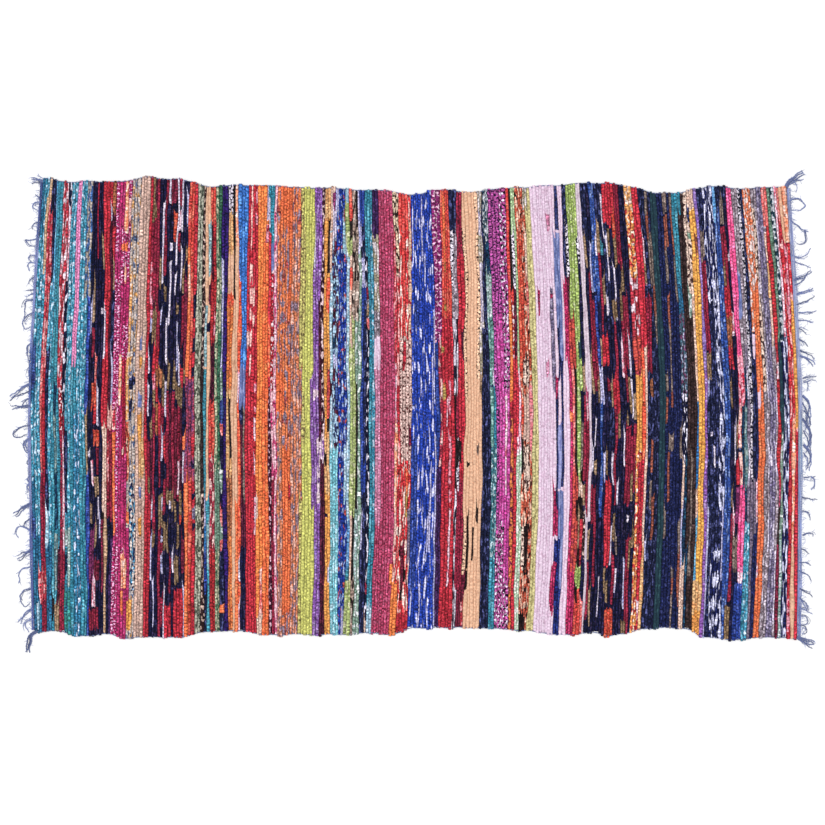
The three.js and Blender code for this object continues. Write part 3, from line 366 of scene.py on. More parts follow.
    ("peach_ink", 154, 155, 80, 5), ("peach_ink", 154, 155, -50, -100), ("peach_ink", 158, 159, 97, 15),
    ("brown_black", 155, 156, -21, -24), ("taupe", 158, 159, -14, -19), ("brown_black", 155, 156, -46, -70),
    ("brown_black", 158, 159, -41, -50), ("brown_black", 157, 158, -52, -66),
    ("brown_black", 155, 156, -71, -79), ("maroon", 154, 155, -72, -100), ("red_blush", 154, 155, -84, -96),
    ("navy", 160, 164, 40, -100), ("navy", 161, 163, 100, 40), ("olive_white", 159, 161, 100, 18),
    ("tan", 159, 161, 18, 8), ("white", 159, 161, 88, 78), ("white", 159, 161, 66, 40),
    ("navy", 160, 161, 38, 8), ("white_petrol", 162, 165, 100, 76), ("petrol", 162, 165, 76, 62),
    ("pale_sage", 163, 165, 62, 43), ("mint", 163, 165, 43, 12), ("white", 164, 165, 20, 13),
    ("mint", 163, 164, 12, -15), ("teal", 164, 165, 12, -15), ("mint_teal", 163, 165, -15, -66),
    ("teal", 163, 165, -66, -100), ("orchid_tick", 165, 168, 100, -50), ("orchid", 166, 168, 45, -48),
    ("orchid_ink", 165, 168, -50, -100),

    ("orchid_ink", 168, 170, 100, 10), ("orchid", 168, 170, 10, -75), ("blush_white", 168, 169, 8, -35),
    ("orchid_ink", 168, 170, -75, -100), ("coral_red", 170, 172, 100, 50), ("black", 171, 172, 100, 55),
    ("tangerine", 170, 171, 50, 5), ("red_twist", 171, 172, 50, 25), ("red", 170, 171, 5, -2),
    ("gold_violet", 170, 171, -2, -100), ("red", 171, 172, -10, -100), ("light_green", 172, 174, 100, 80),
    ("white_ink", 172, 173, 78, 55), ("wine", 172, 173, 55, 25), ("light_green", 173, 174, 80, 20),
    ("blush_white", 172, 174, 20, -17), ("red", 171, 173, 25, -10), ("pale_green", 172, 174, -18, -100),
    ("rust_cream", 174, 178, 100, -100), ("rust_red", 174, 176, 78, 15), ("coral", 177, 178, 65, 40),
    ("cream_umber", 175, 177, 24, 12), ("rust_red", 174, 175, 8, -6), ("beige", 175, 177, 8, -13),
    ("salmon", 177, 178, 13, -15), ("black", 174, 175, -12, -27), ("cream_umber", 175, 177, -15, -33),
    ("brown_black", 175, 177, -50, -72), ("cream_umber", 174, 175, -50, -70),
    ("brown_black", 174, 177, -90, -100), ("yellow_lime", 178, 180, 100, -100),
    ("olive_white", 177, 179, 100, 90), ("cream", 177, 178, 80, 60), ("pale_pink", 180, 191, 100, -100),
    ("raspberry", 181, 182, 54, 44), ("rose_pink", 185, 186, 88, 80), ("rose_pink", 183, 184, 22, 16),
    ("slate_violet", 185, 186, 55, 10), ("raspberry", 185, 186, 53, 50), ("raspberry", 186, 187, 16, 7),
    ("indigo_navy", 186, 187, 7, -43), ("raspberry", 185, 186, -33, -55), ("raspberry", 186, 187, -42, -55),
    ("slate_navy", 188, 189, 100, 80), ("slate", 187, 189, 80, 35), ("slate", 188, 189, 36, 24),
    ("indigo_navy", 187, 188, 40, 15), ("indigo_navy", 188, 189, 24, -34), ("lavender", 187, 188, -5, -35),
    ("slate", 187, 189, -35, -80), ("navy_royal", 186, 188, -57, -82), ("raspberry", 185, 187, -68, -90),
    ("navy_royal", 187, 189, -80, -100), ("navy", 191, 192, 100, 60), ("navy", 192, 193, 100, 84),
    ("white_ink", 192, 193, 84, 60), ("raspberry", 191, 192, 60, -100), ("raspberry", 190, 191, 58, 24),
    ("wine", 192, 193, 60, 42), ("green_lime", 193, 196, 100, 10), ("bottle", 195, 196, 33, 24),
    ("vermilion", 192, 194, 42, 20), ("coral", 192, 193, 20, -27), ("vermilion", 192, 194, -27, -72),
    ("raspberry", 191, 194, -72, -100), ("orange", 191, 192, 0, -4), ("green_lime", 194, 195, 10, -38),
    ("black", 193, 194, 20, -27), ("ink", 195, 196, 10, -5), ("taupe", 195, 196, -5, -25),
    ("black", 195, 196, -25, -32), ("cream", 194, 196, -32, -40), ("black", 193, 196, -38, -48),
    ("tan", 194, 195, -42, -60), ("red", 195, 196, -48, -68), ("black", 194, 195, -60, -70),
    ("crimson", 195, 196, -66, -70), ("green_lime", 194, 196, -70, -80), ("black", 194, 195, -77, -85),
    ("red_orange", 194, 196, -85, -100),

    ("ink", 196, 197, 100, -100), ("green_lime", 196, 197, 100, 78), ("white_ink", 196, 197, 78, 68),
    ("tan", 196, 197, 21, 9), ("crimson", 196, 197, 8, -31), ("tan", 196, 197, -32, -43),
    ("brown_twist", 196, 197, -45, -65), ("coral", 196, 197, -84, -100), ("chalk_pink", 197, 199, 100, 10),
    ("chalk_pink", 198, 199, 10, -50), ("blush_rose", 197, 198, 10, -3), ("crimson", 197, 198, -3, -45),
    ("ink", 198, 199, -50, -100), ("chalk_pink", 197, 198, -50, -100), ("ink", 199, 215, 100, -100),
    ("navy", 199, 201, 100, 75), ("tan", 199, 200, 80, 65), ("crimson", 200, 201, 63, 28),
    ("tan", 199, 200, 28, 10), ("crimson", 200, 201, 28, 10), ("white", 200, 201, -2, -15),
    ("white", 199, 200, -15, -25), ("tan", 200, 201, -22, -28), ("crimson", 199, 201, -33, -50),
    ("crimson", 200, 201, -50, -78), ("tan", 198, 199, -54, -67), ("crimson", 198, 199, -67, -92),
    ("tan", 199, 200, -78, -95), ("blue", 202, 204, 100, 52), ("lavender_white", 201, 202, 75, 53),
    ("crimson", 201, 202, 50, 15), ("royal", 202, 203, 52, 20), ("blue", 202, 203, 5, -46),
    ("lavender_white", 203, 204, -18, -30), ("navy", 204, 206, 100, 84), ("white", 203, 204, 80, 70),
    ("tan", 204, 205, 84, 71), ("turquoise", 205, 206, 76, 70), ("crimson", 204, 205, 70, 35),
    ("tan", 203, 205, 33, 22), ("red", 204, 206, 34, 21), ("lavender_white", 202, 204, 20, 5),
    ("tan", 201, 202, 15, 5), ("crimson", 205, 206, 15, 10), ("tan", 205, 206, 60, 48),
    ("navy", 205, 207, 8, -15), ("khaki", 204, 205, -17, -28), ("red", 204, 206, -30, -69),
    ("white", 206, 207, -18, -30), ("khaki", 204, 205, -70, -82), ("white", 202, 203, -74, -92),
    ("khaki", 205, 206, -76, -86), ("navy", 206, 208, 100, 40), ("white", 206, 207, 52, 44),
    ("white", 206, 207, 97, 78), ("white", 207, 208, 78, 60), ("red", 207, 210, 100, 84),
    ("red", 209, 212, 100, 88), ("rust_red", 210, 212, 90, 77), ("crimson", 211, 213, 100, 65),
    ("khaki", 208, 209, 81, 69), ("khaki", 210, 211, 77, 63), ("khaki", 212, 213, 64, 53),
    ("white", 209, 210, 66, 40), ("khaki", 208, 210, 50, 42), ("khaki", 211, 212, 55, 43),
    ("crimson", 212, 214, 52, 20), ("crimson", 208, 209, 40, 15), ("crimson", 211, 212, 43, 5),
    ("blush_white", 210, 211, 33, 16), ("white", 213, 214, 33, 17), ("red", 207, 209, 16, 0),
    ("tan", 206, 207, 15, 3), ("khaki", 212, 213, 15, 0), ("white", 213, 214, 14, -2),
    ("tan", 214, 215, 8, -2), ("khaki", 208, 209, 0, -12), ("khaki", 211, 212, 0, -8),
    ("crimson", 207, 208, 3, -40), ("white", 210, 211, -8, -22), ("crimson", 211, 213, -6, -42),
    ("crimson", 213, 214, -10, -28), ("crimson", 214, 215, -5, -36), ("white", 208, 209, -30, -42),
    ("khaki", 213, 214, -27, -40), ("khaki", 207, 208, -46, -58), ("white", 206, 207, -50, -68),
    ("white", 212, 213, -46, -49), ("crimson", 207, 208, -64, -86), ("white", 208, 209, -70, -80),
    ("taupe", 208, 209, -55, -63), ("lavender_white", 211, 212, -66, -88), ("crimson", 212, 214, -57, -100),
    ("khaki", 213, 214, -58, -70), ("khaki", 214, 215, -50, -60), ("rust_red", 205, 208, -88, -100),
    ("khaki", 211, 213, -94, -100), ("gold_ivory", 215, 217, 100, 90), ("gold_twist", 215, 217, 90, 60),
    ("red_cream", 215, 217, 60, 33), ("vermilion", 215, 217, 33, 17), ("gold", 215, 217, 17, -18),
    ("gold_twist", 215, 217, -18, -100), ("navy", 219, 223, 100, -100), ("taupe", 221, 222, 100, 89),
    ("red", 217, 219, 100, 28), ("flame", 217, 218, 28, -20), ("red", 216, 218, -22, -60),
    ("red", 217, 218, -60, -100), ("blush_white", 217, 218, -85, -92), ("blush_white", 219, 220, 78, 55),
    ("tan", 219, 220, 66, 56), ("crimson", 219, 221, 52, 18), ("cream", 218, 219, 26, -100),
    ("gold_tan", 218, 219, -60, -100), ("rust", 221, 222, 88, 77), ("taupe", 221, 223, 78, 56),
    ("rust", 222, 223, 57, 44), ("taupe", 222, 223, 44, 30), ("rust_tan", 220, 221, 15, 8),
    ("rust", 220, 221, -12, -28), ("taupe", 220, 221, -30, -44), ("rust", 221, 222, -38, -56),
    ("lavender_white", 219, 220, -57, -66), ("bottle", 223, 225, 100, -100),

    ("navy_tick", 225, 231, 100, -100), ("taupe", 227, 229, 100, 88), ("rust", 227, 229, 87, 73),
    ("taupe", 227, 228, 73, 58), ("rust", 227, 228, 53, 38), ("taupe", 227, 228, 38, 10),
    ("rust", 227, 228, 10, 2), ("taupe", 225, 226, 17, 9), ("rust", 225, 226, 8, -4),
    ("taupe", 226, 228, -9, -17), ("rust", 226, 227, -18, -40), ("taupe", 225, 226, -42, -57),
    ("taupe", 230, 231, 100, 90), ("rust", 230, 231, 90, 70), ("taupe", 230, 231, 68, 50),
    ("taupe", 230, 231, -5, -20), ("taupe", 230, 231, -47, -62), ("rust", 230, 231, -62, -86),
    ("taupe", 228, 229, -70, -95), ("rust", 228, 229, -75, -80), ("teal", 231, 233, 100, 57),
    ("deep_teal", 231, 233, 57, 44), ("teal_mauve", 231, 233, 44, 8), ("ink_white", 231, 233, 8, -22),
    ("cream", 231, 232, -22, -42), ("lavender_white", 231, 232, -42, -68), ("petrol", 232, 233, -20, -68),
    ("cream", 231, 233, -68, -100), ("umber", 233, 236, 100, -100), ("teal", 233, 234, 100, 88),
    ("petrol", 233, 234, -60, -100), ("taupe", 234, 235, -18, -73), ("cream_umber", 235, 237, 100, 54),
    ("sage", 235, 236, 53, 43), ("cream", 236, 237, 54, 5), ("azure", 236, 237, 4, -33),
    ("cream", 236, 237, -33, -47), ("pale_azure", 236, 237, -47, -86), ("green", 236, 237, 79, 76),
    ("yellow", 237, 239, 90, -76), ("cream", 236, 239, 100, 90), ("navy", 236, 237, 91, 85),
    ("gold_tan", 236, 239, -76, -89), ("gold", 236, 239, -89, -100), ("lilac", 239, 240, 100, 20),
    ("rust", 238, 239, 78, 70), ("purple", 239, 240, 20, -100), ("navy", 240, 246, 100, -100),
    ("lavender_white", 240, 241, 18, 8), ("lavender_white", 240, 241, -42, -100),
    ("taupe", 240, 242, 80, 67), ("crimson", 240, 242, 67, 27), ("khaki", 240, 242, 26, 15),
    ("white", 241, 242, -8, -10), ("white", 242, 243, -15, -24), ("navy_white", 242, 246, 100, 50),
    ("navy_white", 244, 246, 56, 46), ("speckle", 244, 246, 46, -50), ("navy_white", 242, 246, -62, -100),
    ("blue", 246, 248, 100, -100), ("sky_soft", 246, 247, 100, 85), ("lavender_white", 245, 246, -42, -75),
    ("ink", 248, 251, 100, -100), ("navy", 247, 251, 100, 90), ("taupe", 248, 250, 95, 83),
    ("crimson", 248, 250, 82, 55), ("tan", 248, 249, 65, 56), ("red", 248, 250, 55, 20),
    ("rust_tan", 248, 250, 42, 30), ("white", 250, 251, 70, 67), ("blush_white", 250, 251, 45, 35),
    ("khaki", 248, 249, 15, 4), ("white", 249, 250, -4, -22), ("khaki", 250, 251, -5, -15),
    ("khaki", 248, 249, -33, -43), ("crimson", 248, 249, -45, -86), ("blush_white", 249, 250, -43, -57),
    ("taupe", 249, 251, -55, -70), ("khaki", 247, 249, -87, -100), ("red", 250, 251, -20, -34),
    ("plum", 250, 251, -34, -50),

    ("hot_pink", 251, 253, 100, 25), ("blush", 251, 253, 25, 3), ("blush_cream", 251, 252, 3, -33),
    ("petrol", 252, 253, 3, -33), ("navy", 251, 252, -16, -18), ("hot_pink", 251, 253, -33, -72),
    ("blush_white", 251, 253, -72, -77), ("royal", 250, 253, -77, -100), ("taupe_grey", 253, 256, 100, 20),
    ("slate", 253, 254, 62, 42), ("mauve_grey", 254, 256, 30, -100), ("petrol", 253, 254, 20, -50),
    ("sage_grey", 253, 254, 2, -34), ("teal_splash", 253, 255, -50, -100), ("white", 254, 255, 18, 5),
    ("white", 254, 255, -15, -30), ("white_ink", 255, 256, 100, -30), ("navy", 256, 257, 100, -30),
    ("mauve_grey", 256, 257, -30, -55), ("navy", 256, 257, 100, 80), ("orange_cream", 257, 258, 100, 35),
    ("indigo_navy", 257, 258, 35, -100), ("indigo_navy", 256, 258, -55, -100),
    ("orange", 258, 260, 100, -100), ("orange_cream", 258, 260, 100, 55), ("pale_pink", 257, 258, 35, 25),
    ("pale_pink", 258, 259, 10, 2), ("blush_white", 257, 258, -30, -48),
    ("blush_white", 258, 259, -68, -74), ("taupe_grey", 260, 262, 100, -100),
    ("cream_umber", 260, 261, 90, 10), ("slate_violet", 262, 264, 100, -100),
    ("taupe_grey", 264, 265, 100, -100), ("white", 261, 262, 85, 70), ("white", 260, 262, 57, 53),
    ("white", 261, 262, 22, 8), ("white", 264, 265, 8, -4), ("white", 261, 262, -13, -28),
    ("white", 262, 263, -16, -24), ("white", 264, 265, -14, -28), ("white", 261, 262, -47, -62),
    ("white", 263, 264, -50, -60), ("white", 262, 263, -62, -66), ("white", 264, 265, -62, -95),
    ("white", 260, 261, -73, -85), ("brick", 265, 266, 100, -32), ("red_cream", 265, 266, 27, 14),
    ("coral", 264, 266, 100, 82), ("cream", 264, 265, 80, 66), ("gold_tan", 264, 265, 66, 50),
    ("cream", 264, 265, 50, 30), ("mauve_red", 265, 266, -32, -42), ("umber", 265, 266, -42, -60),
    ("maroon", 265, 266, -60, -100), ("green", 266, 267, 100, 32), ("white_petrol", 267, 268, 100, 32),
    ("bottle", 266, 267, 32, -10), ("navy_white", 267, 268, 32, -10), ("sage", 266, 267, -10, -58),
    ("navy_white", 267, 268, -10, -58), ("pale_sage", 266, 267, -58, -100),
    ("navy_white", 268, 269, 100, -100), ("blush_white", 268, 269, 100, 35),
    ("navy_white", 267, 268, -55, -100), ("red", 269, 272, 100, -100), ("red_streak", 269, 272, 75, -10),
    ("coral", 269, 270, 100, 85), ("cream_peach", 270, 271, 100, 75), ("peach_orange", 271, 272, 100, 75),
    ("blush", 270, 271, 75, 40), ("blush", 271, 272, 50, 35), ("blush", 271, 272, 25, 15),
    ("peach_orange", 270, 271, -2, -60), ("cream_peach", 270, 271, -60, -100),
    ("blush", 269, 270, -85, -97), ("gold", 271, 272, 49, -6),
]


def eased(table, column, place):
    """Reads a column of a table at the given places, easing from each row to the next."""
    keys, values = table[:, 0], table[:, column]
    place = np.clip(place, keys[0], keys[-1])
    row = np.clip(np.searchsorted(keys, place, side="right") - 1, 0, len(keys) - 2)
    share = (place - keys[row]) / (keys[row + 1] - keys[row])
    return values[row] + (values[row + 1] - values[row]) * share * share * (3 - 2 * share)


def along_rug(strip, across):
    """Where a strip lies along the rug at a distance across from the middle line, in metres."""
    strip, across = np.broadcast_arrays(strip, across)
    share = np.where(across > 0, across / UPPER_HALF, across / LOWER_HALF)
    middle = strip * PITCH - LENGTH / 2
    lean = np.where(share > 0, eased(LEAN, 1, middle), eased(LEAN, 2, middle)) * np.abs(share) ** LEAN_POWER
    stops = [np.interp(strip, WANDER[:, 0], WANDER[:, column]) for column in (4, 3, 2, 1)]
    stops.insert(2, 0 * middle)
    place = np.clip((share + 1) * 2, 0, 3.999)  # in steps between the five stops
    step = place.astype(int)
    rest = place - step
    rest = 0.5 * rest + 0.5 * rest * rest * (3 - 2 * rest)
    wander = np.choose(step, stops[:4]) * (1 - rest) + np.choose(step, stops[1:]) * rest
    return middle + lean + wander * PITCH


def linear(colour):
    """A colour given as six hexadecimal digits, in linear light and opaque."""
    light = np.array([int(colour[i:i + 2], 16) for i in (0, 2, 4)]) / 255
    return np.append(np.where(light < 0.04045, light / 12.92, ((light + 0.055) / 1.055) ** 2.4), 1)


class Shade:
    """One output in a material's nodes. Arithmetic with it adds the Math nodes that work it out."""

    def __init__(self, tree, socket=None):
        self.tree = tree
        self.socket = socket

    def node(self, kind, settings, sockets, output=0):
        made = self.tree.nodes.new("ShaderNode" + kind)
        for key, value in settings.items():
            setattr(made, key, value)
        for key, value in sockets.items():
            if isinstance(value, Shade):
                self.tree.links.new(value.socket, made.inputs[key])
            else:
                made.inputs[key].default_value = value
        return Shade(self.tree, made.outputs[output])

    def maths(self, operation, first, second=0.0, clamp=False):
        return self.node("Math", {"operation": operation, "use_clamp": clamp}, {0: first, 1: second})

    def point(self, *places):
        return self.node("CombineXYZ", {}, dict(enumerate(places)))

    def parts(self, kind, value):
        whole = self.node("Separate" + kind, {}, {0: value}).socket.node
        return [Shade(self.tree, part) for part in whole.outputs[:3]]

    def attribute(self, name, output):
        return self.node("Attribute", {"attribute_name": name}, {}, output)

    def noise(self, dimensions, place, scale, detail):
        sockets = {"Vector": place, "Scale": scale, "Detail": detail}
        return self.node("TexNoise", {"noise_dimensions": dimensions}, sockets)

    def mixed(self, share, first, second):
        return self.node("Mix", {"data_type": "RGBA"}, {0: share, 6: first, 7: second}, 2)

    def scaled(self, colour, light):
        return self.node("VectorMath", {"operation": "SCALE"}, {0: colour, "Scale": light})

    def __add__(self, other):
        return self.maths("ADD", self, other)

    def __sub__(self, other):
        return self.maths("SUBTRACT", self, other)

    def __rsub__(self, other):
        return self.maths("SUBTRACT", other, self)

    def __mul__(self, other):
        return self.maths("MULTIPLY", self, other)

    def __truediv__(self, other):
        return self.maths("DIVIDE", self, other)

    __radd__ = __add__
    __rmul__ = __mul__


def cotton(name, dye_and_shade, bump_strength, bump_depth):
    """Matte cotton. The colouring gives its colour, with any painted shade, and the fibres that roughen it.
    """
    material = bpy.data.materials.new(name)
    material.use_nodes = True
    surface = material.node_tree.nodes["Principled BSDF"]
    at = Shade(material.node_tree)
    colour, fibre = dye_and_shade(at)
    bump = at.node("Bump", {}, {"Strength": bump_strength, "Distance": bump_depth, "Height": fibre})
    for key, value in (("Base Color", colour), ("Roughness", 0.8 + 0.15 * fibre), ("Normal", bump)):
        material.node_tree.links.new(value.socket, surface.inputs[key])
    surface.inputs["Specular IOR Level"].default_value = 0.15
    return material


def cloth_colour_and_shade(at):
    """Worn cotton: flecks of print, tapering joins, the warp's ticks, painted shade and highlights, and
    short fibres.
    """
    u, v, _ = at.parts("XYZ", at.node("UVMap", {"uv_map": "Weave"}, {}))
    lane = at.maths("FLOOR", u)
    turn = u - lane
    side = at.maths("COSINE", turn * (2 * np.pi))
    edge = at.maths("ABSOLUTE", side)

    # A join slants across its strip and is a little ragged. Each strip reads a noise at a place of its own.
    raggedness = 0.006
    join_blur = 0.0008
    stray = at.noise("3D", at.point(lane * 1.7, turn * 5.0, v * 260.0), 1.0, 2.0) - 0.5
    past, slant, fine_rag = at.parts("XYZ", at.attribute("cut", 1))
    taper = slant * side + at.maths("ABSOLUTE", slant) * (edge - 0.5) + stray * raggedness
    above = at.maths("ADD", (past - taper) / join_blur, 0.5, clamp=True)
    face, pattern, accent, dose = (
        at.mixed(above, at.attribute(key + "_lower", 0), at.attribute(key + "_upper", 0))
        for key in ("face", "print", "accent", "dose")
    )

    # The print lies in flecks, as long as the rag says, that take up its share of the strip.
    fleck_blur = 0.04
    share, accent_share, fleck = at.parts("Color", dose)
    cell = at.point(lane * 7.31 + turn * 4.4, v / (fleck * 2.2))
    grain = {"Vector": cell, "Scale": 1.0, "Detail": 0.8, "Roughness": 0.55}
    red, green, blue = at.parts("Color", at.node("TexNoise", {"noise_dimensions": "2D"}, grain, 1))
    printed = at.maths("ADD", (share - red) / fleck_blur, 0.5, clamp=True)
    spotted = at.maths("ADD", (accent_share - green) / fleck_blur, 0.5, clamp=True)
    colour = at.mixed(spotted, at.mixed(printed, face, pattern), accent)

    # What shades it: fibres, the warp's dents and the yarn seen in them, with painted shade there and a
    # painted highlight on each bead's crest, painted shade in the valleys between strips and in a line
    # where a fine rag would fold, streaks along the strip, and painted dark and pale specks.
    fibre = at.noise("3D", at.point(lane * 3.1, turn * 14.0, v * 900.0), 1.0, 3.0)
    strip_light = at.node("TexWhiteNoise", {"noise_dimensions": "1D"}, {"W": lane})
    dent = at.maths("ABSOLUTE", at.maths("FRACT", v / DENT + lane * 0.5) - 0.5)
    # Where the warp crosses: the warp's colour shows there, with painted shade.
    warp_tick_shade = at.maths("SUBTRACT", 1.0, dent * 9.0, clamp=True)
    # Painted shade in the valleys between strips.
    valley_shade = at.maths("MULTIPLY", edge - 0.45, 1.8, clamp=True)
    # A painted shade line along the middle of a fine rag, where a fold would be.
    fold_shade = at.maths("SUBTRACT", 1.0, edge * 5.0, clamp=True) * fine_rag
    streak = at.noise("2D", at.point(lane * 2.3 + turn * 6.0, v * 250.0), 1.0, 1.0)
    cell = {"Vector": at.point(lane * 9.7 + turn * 5.0, v * 420.0), "Scale": 1.0}
    speck, _, _ = at.parts("Color", at.node("TexVoronoi", {"voronoi_dimensions": "2D"}, cell, 1))

    # Calm and pale rags show less of it. The painted dark and pale specks are the cells with the lowest
    # and highest values.
    shade_speck = 0.13
    highlight_speck = 0.87
    bright = at.maths("SQRT", at.node("RGBToBW", {}, {0: colour}))
    lively = (1.0 - 0.7 * at.attribute("calm", 2)) * (1.2 - 0.5 * bright)
    light = 0.8 + lively * (0.3 * (blue - 0.5) + 0.24 * (strip_light - 0.5))
    for depth in (
        2.3 * (streak - 0.5),
        # Painted highlight on each bead's crest and painted shade where the warp crosses.
        0.8 * (dent - 0.25),
        # Painted shade where the warp crosses.
        -0.4 * warp_tick_shade * streak,
        # Painted shade in the valleys between strips, deeper on fine rags.
        (-0.58 - 0.2 * fine_rag) * valley_shade,
        # Painted dark specks of shade and pale specks of highlight.
        -0.5 * at.maths("LESS_THAN", speck, shade_speck),
        0.6 * at.maths("GREATER_THAN", speck, highlight_speck),
    ):
        light = light * (1.0 + lively * depth)
    # The painted shade line along a fine rag.
    light = light * (1.0 - 0.45 * fold_shade)

    # The blue-grey warp shows through in the dents, mixed toward a darker tone as painted shade, and wear
    # has greyed and cooled every colour.
    shaded_warp_tone = linear("4a5578")
    warp_share = 0.16
    wear = 0.16
    cool = (1.01, 0.955, 1.06)
    # The warp's colour in the dents, mixed toward a darker tone as painted shade.
    colour = at.mixed(warp_tick_shade * warp_share, colour, shaded_warp_tone)
    colour = at.mixed(wear, colour, at.node("RGBToBW", {}, {0: colour}))
    colour = at.node("VectorMath", {"operation": "MULTIPLY"}, {0: colour, 1: cool})
    return at.scaled(colour, light), fibre


def sweep_nodes():
    """Sweeps a flattened round section along every line of a mesh, as thick as the line's girth says."""
    tree = bpy.data.node_groups.new("sweep", "GeometryNodeTree")
    inputs = {"Lines": "Geometry", "Sides": "Int", "Flatness": "Float", "Finish": "Material"}
    for name, kind in inputs.items():
        tree.interface.new_socket(name, in_out="INPUT", socket_type="NodeSocket" + kind)
    tree.interface.new_socket("Mesh", in_out="OUTPUT", socket_type="NodeSocketGeometry")

    def add(kind, settings, sockets):
        made = tree.nodes.new(kind)
        for key, value in settings.items():
            setattr(made, key, value)
        for key, value in sockets.items():
            if isinstance(value, bpy.types.NodeSocket):
                tree.links.new(value, made.inputs[key])
            else:
                made.inputs[key].default_value = value
        return made.outputs

    given = add("NodeGroupInput", {}, {})
    lines = add("GeometryNodeMeshToCurve", {}, {"Mesh": given["Lines"]})[0]
    lines = add("GeometryNodeSetCurveNormal", {"mode": "Z_UP"}, {"Curve": lines})[0]
    ring = add("GeometryNodeCurvePrimitiveCircle", {}, {"Resolution": given["Sides"], "Radius": 1.0})[0]
    place = add("GeometryNodeInputIndex", {}, {})[0]
    turn = add("ShaderNodeMath", {"operation": "DIVIDE"}, {0: place, 1: given["Sides"]})[0]
    ring = add("GeometryNodeStoreNamedAttribute", {}, {"Geometry": ring, "Name": "turn", "Value": turn})[0]
    scale = add("ShaderNodeCombineXYZ", {}, {0: 1.0, 1: given["Flatness"], 2: 1.0})[0]
    ring = add("GeometryNodeTransform", {}, {"Geometry": ring, "Scale": scale})[0]
    girth = add("GeometryNodeInputNamedAttribute", {}, {"Name": "girth"})[0]
    swept = {"Curve": lines, "Profile Curve": ring, "Scale": girth, "Fill Caps": True}
    mesh = add("GeometryNodeCurveToMesh", {}, swept)[0]
    mesh = add("GeometryNodeSetShadeSmooth", {}, {"Geometry": mesh})[0]
    mesh = add("GeometryNodeRealizeInstances", {}, {"Geometry": mesh})[0]
    mesh = add("GeometryNodeSetMaterial", {}, {"Geometry": mesh, "Material": given["Finish"]})[0]
    add("NodeGroupOutput", {}, {"Mesh": mesh})
    return tree


COLUMN_MARGIN = 0.03  # of a column's width, left free on each side of it
END_MARGIN = 0.01  # of the map's height
FULL_TURN = 0.999  # keeps the end of a turn inside its own lane


def unroll(mesh):
    """Maps each line as an unrolled column: Weave in strips and metres for the nodes, OFBake for baking."""
    corner = np.empty(len(mesh.loops), np.int32)
    mesh.loops.foreach_get("vertex_index", corner)
    start = np.empty(len(mesh.polygons), np.int32)
    mesh.polygons.foreach_get("loop_start", start)
    total = np.empty(len(mesh.polygons), np.int32)
    mesh.polygons.foreach_get("loop_total", total)
    columns = []
    for key in ("lane", "across", "turn"):
        values = np.empty(len(mesh.vertices), np.float32)
        mesh.attributes[key].data.foreach_get("value", values)
        columns.append(values[corner])
    lane, across, turn = columns
    # In the face that closes a ring, the corners at turn 0 count as a whole turn.
    goes_round = np.repeat((np.maximum.reduceat(turn, start) > 0.7) & (total == 4), total)
    turn = np.where(goes_round & (turn < 0.01), 1, turn)
    low, high = across.min(), across.max()
    flat = (lane - lane.min() + COLUMN_MARGIN + (1 - 2 * COLUMN_MARGIN) * turn) / (np.ptp(lane) + 1)
    tall = END_MARGIN + (1 - 2 * END_MARGIN) * (across - low) / (high - low)
    for name, u, v in (("Weave", lane + turn * FULL_TURN, across), ("OFBake", flat, tall)):
        layer = mesh.uv_layers.new(name=name)
        layer.data.foreach_set("uv", np.stack([u, v], 1).astype(np.float32).ravel())


FIELDS = {1: ("FLOAT", "value"), 3: ("FLOAT_VECTOR", "vector"), 4: ("FLOAT_COLOR", "color")}
sweep = sweep_nodes()


def swept(name, lines, settings):
    """Makes a piece from lines, each a dict of arrays: points, girth, across and any colours along it."""
    for number, line in enumerate(lines):
        line.setdefault("lane", np.full(len(line["points"]), number))
    points = np.concatenate([line["points"] for line in lines])
    last = np.cumsum([len(line["points"]) for line in lines]) - 1
    first = np.delete(np.arange(len(points)), last)
    mesh = bpy.data.meshes.new(name + "_lines")
    mesh.from_pydata(points.tolist(), np.stack([first, first + 1], 1).tolist(), [])
    for key in lines[0]:
        if key == "points":
            continue
        values = np.concatenate([line[key] for line in lines])
        kind, field = FIELDS[1 if values.ndim == 1 else values.shape[1]]
        mesh.attributes.new(key, kind, "POINT").data.foreach_set(field, values.astype(np.float32).ravel())
    piece = bpy.data.objects.new(name, mesh)
    bpy.context.scene.collection.objects.link(piece)
    modifier = piece.modifiers.new("sweep", "NODES")
    modifier.node_group = sweep
    for item in sweep.interface.items_tree:
        if item.name in settings:
            modifier[item.identifier] = settings[item.name]
    bpy.context.view_layer.update()
    shown = piece.evaluated_get(bpy.context.evaluated_depsgraph_get())
    made = bpy.data.meshes.new_from_object(shown)
    piece.modifiers.clear()
    piece.data = made
    made.name = name
    bpy.data.meshes.remove(mesh)
    unroll(made)
    return piece


lane = np.arange(STRIPS)[:, None]
across = np.arange(-ROWS, ROWS + 1) * ROW
edges = along_rug(np.arange(STRIPS + 1)[:, None], across)
share = np.where(across > 0, across / UPPER_HALF, across / LOWER_HALF) * 100

# A run charted as far as the selvedge goes on round the turn. Where the others end varies a little.
SELVEDGE = 97
TURN = 120
END_SPREAD = 0.5
names = list(RAGS)
laid = np.full((STRIPS, len(across)), -1)
for rag, first, end, upper, lower in CHART:
    upper = TURN if upper > SELVEDGE else upper
    lower = -TURN if lower < -SELVEDGE else lower
    for strip in range(first, end):
        slip = chance.normal(0, END_SPREAD, 2)
        laid[strip, (share <= upper + slip[0]) & (share >= lower + slip[1])] = names.index(rag)
for row in range(1, len(across)):
    laid[:, row] = np.where(laid[:, row] < 0, laid[:, row - 1], laid[:, row])

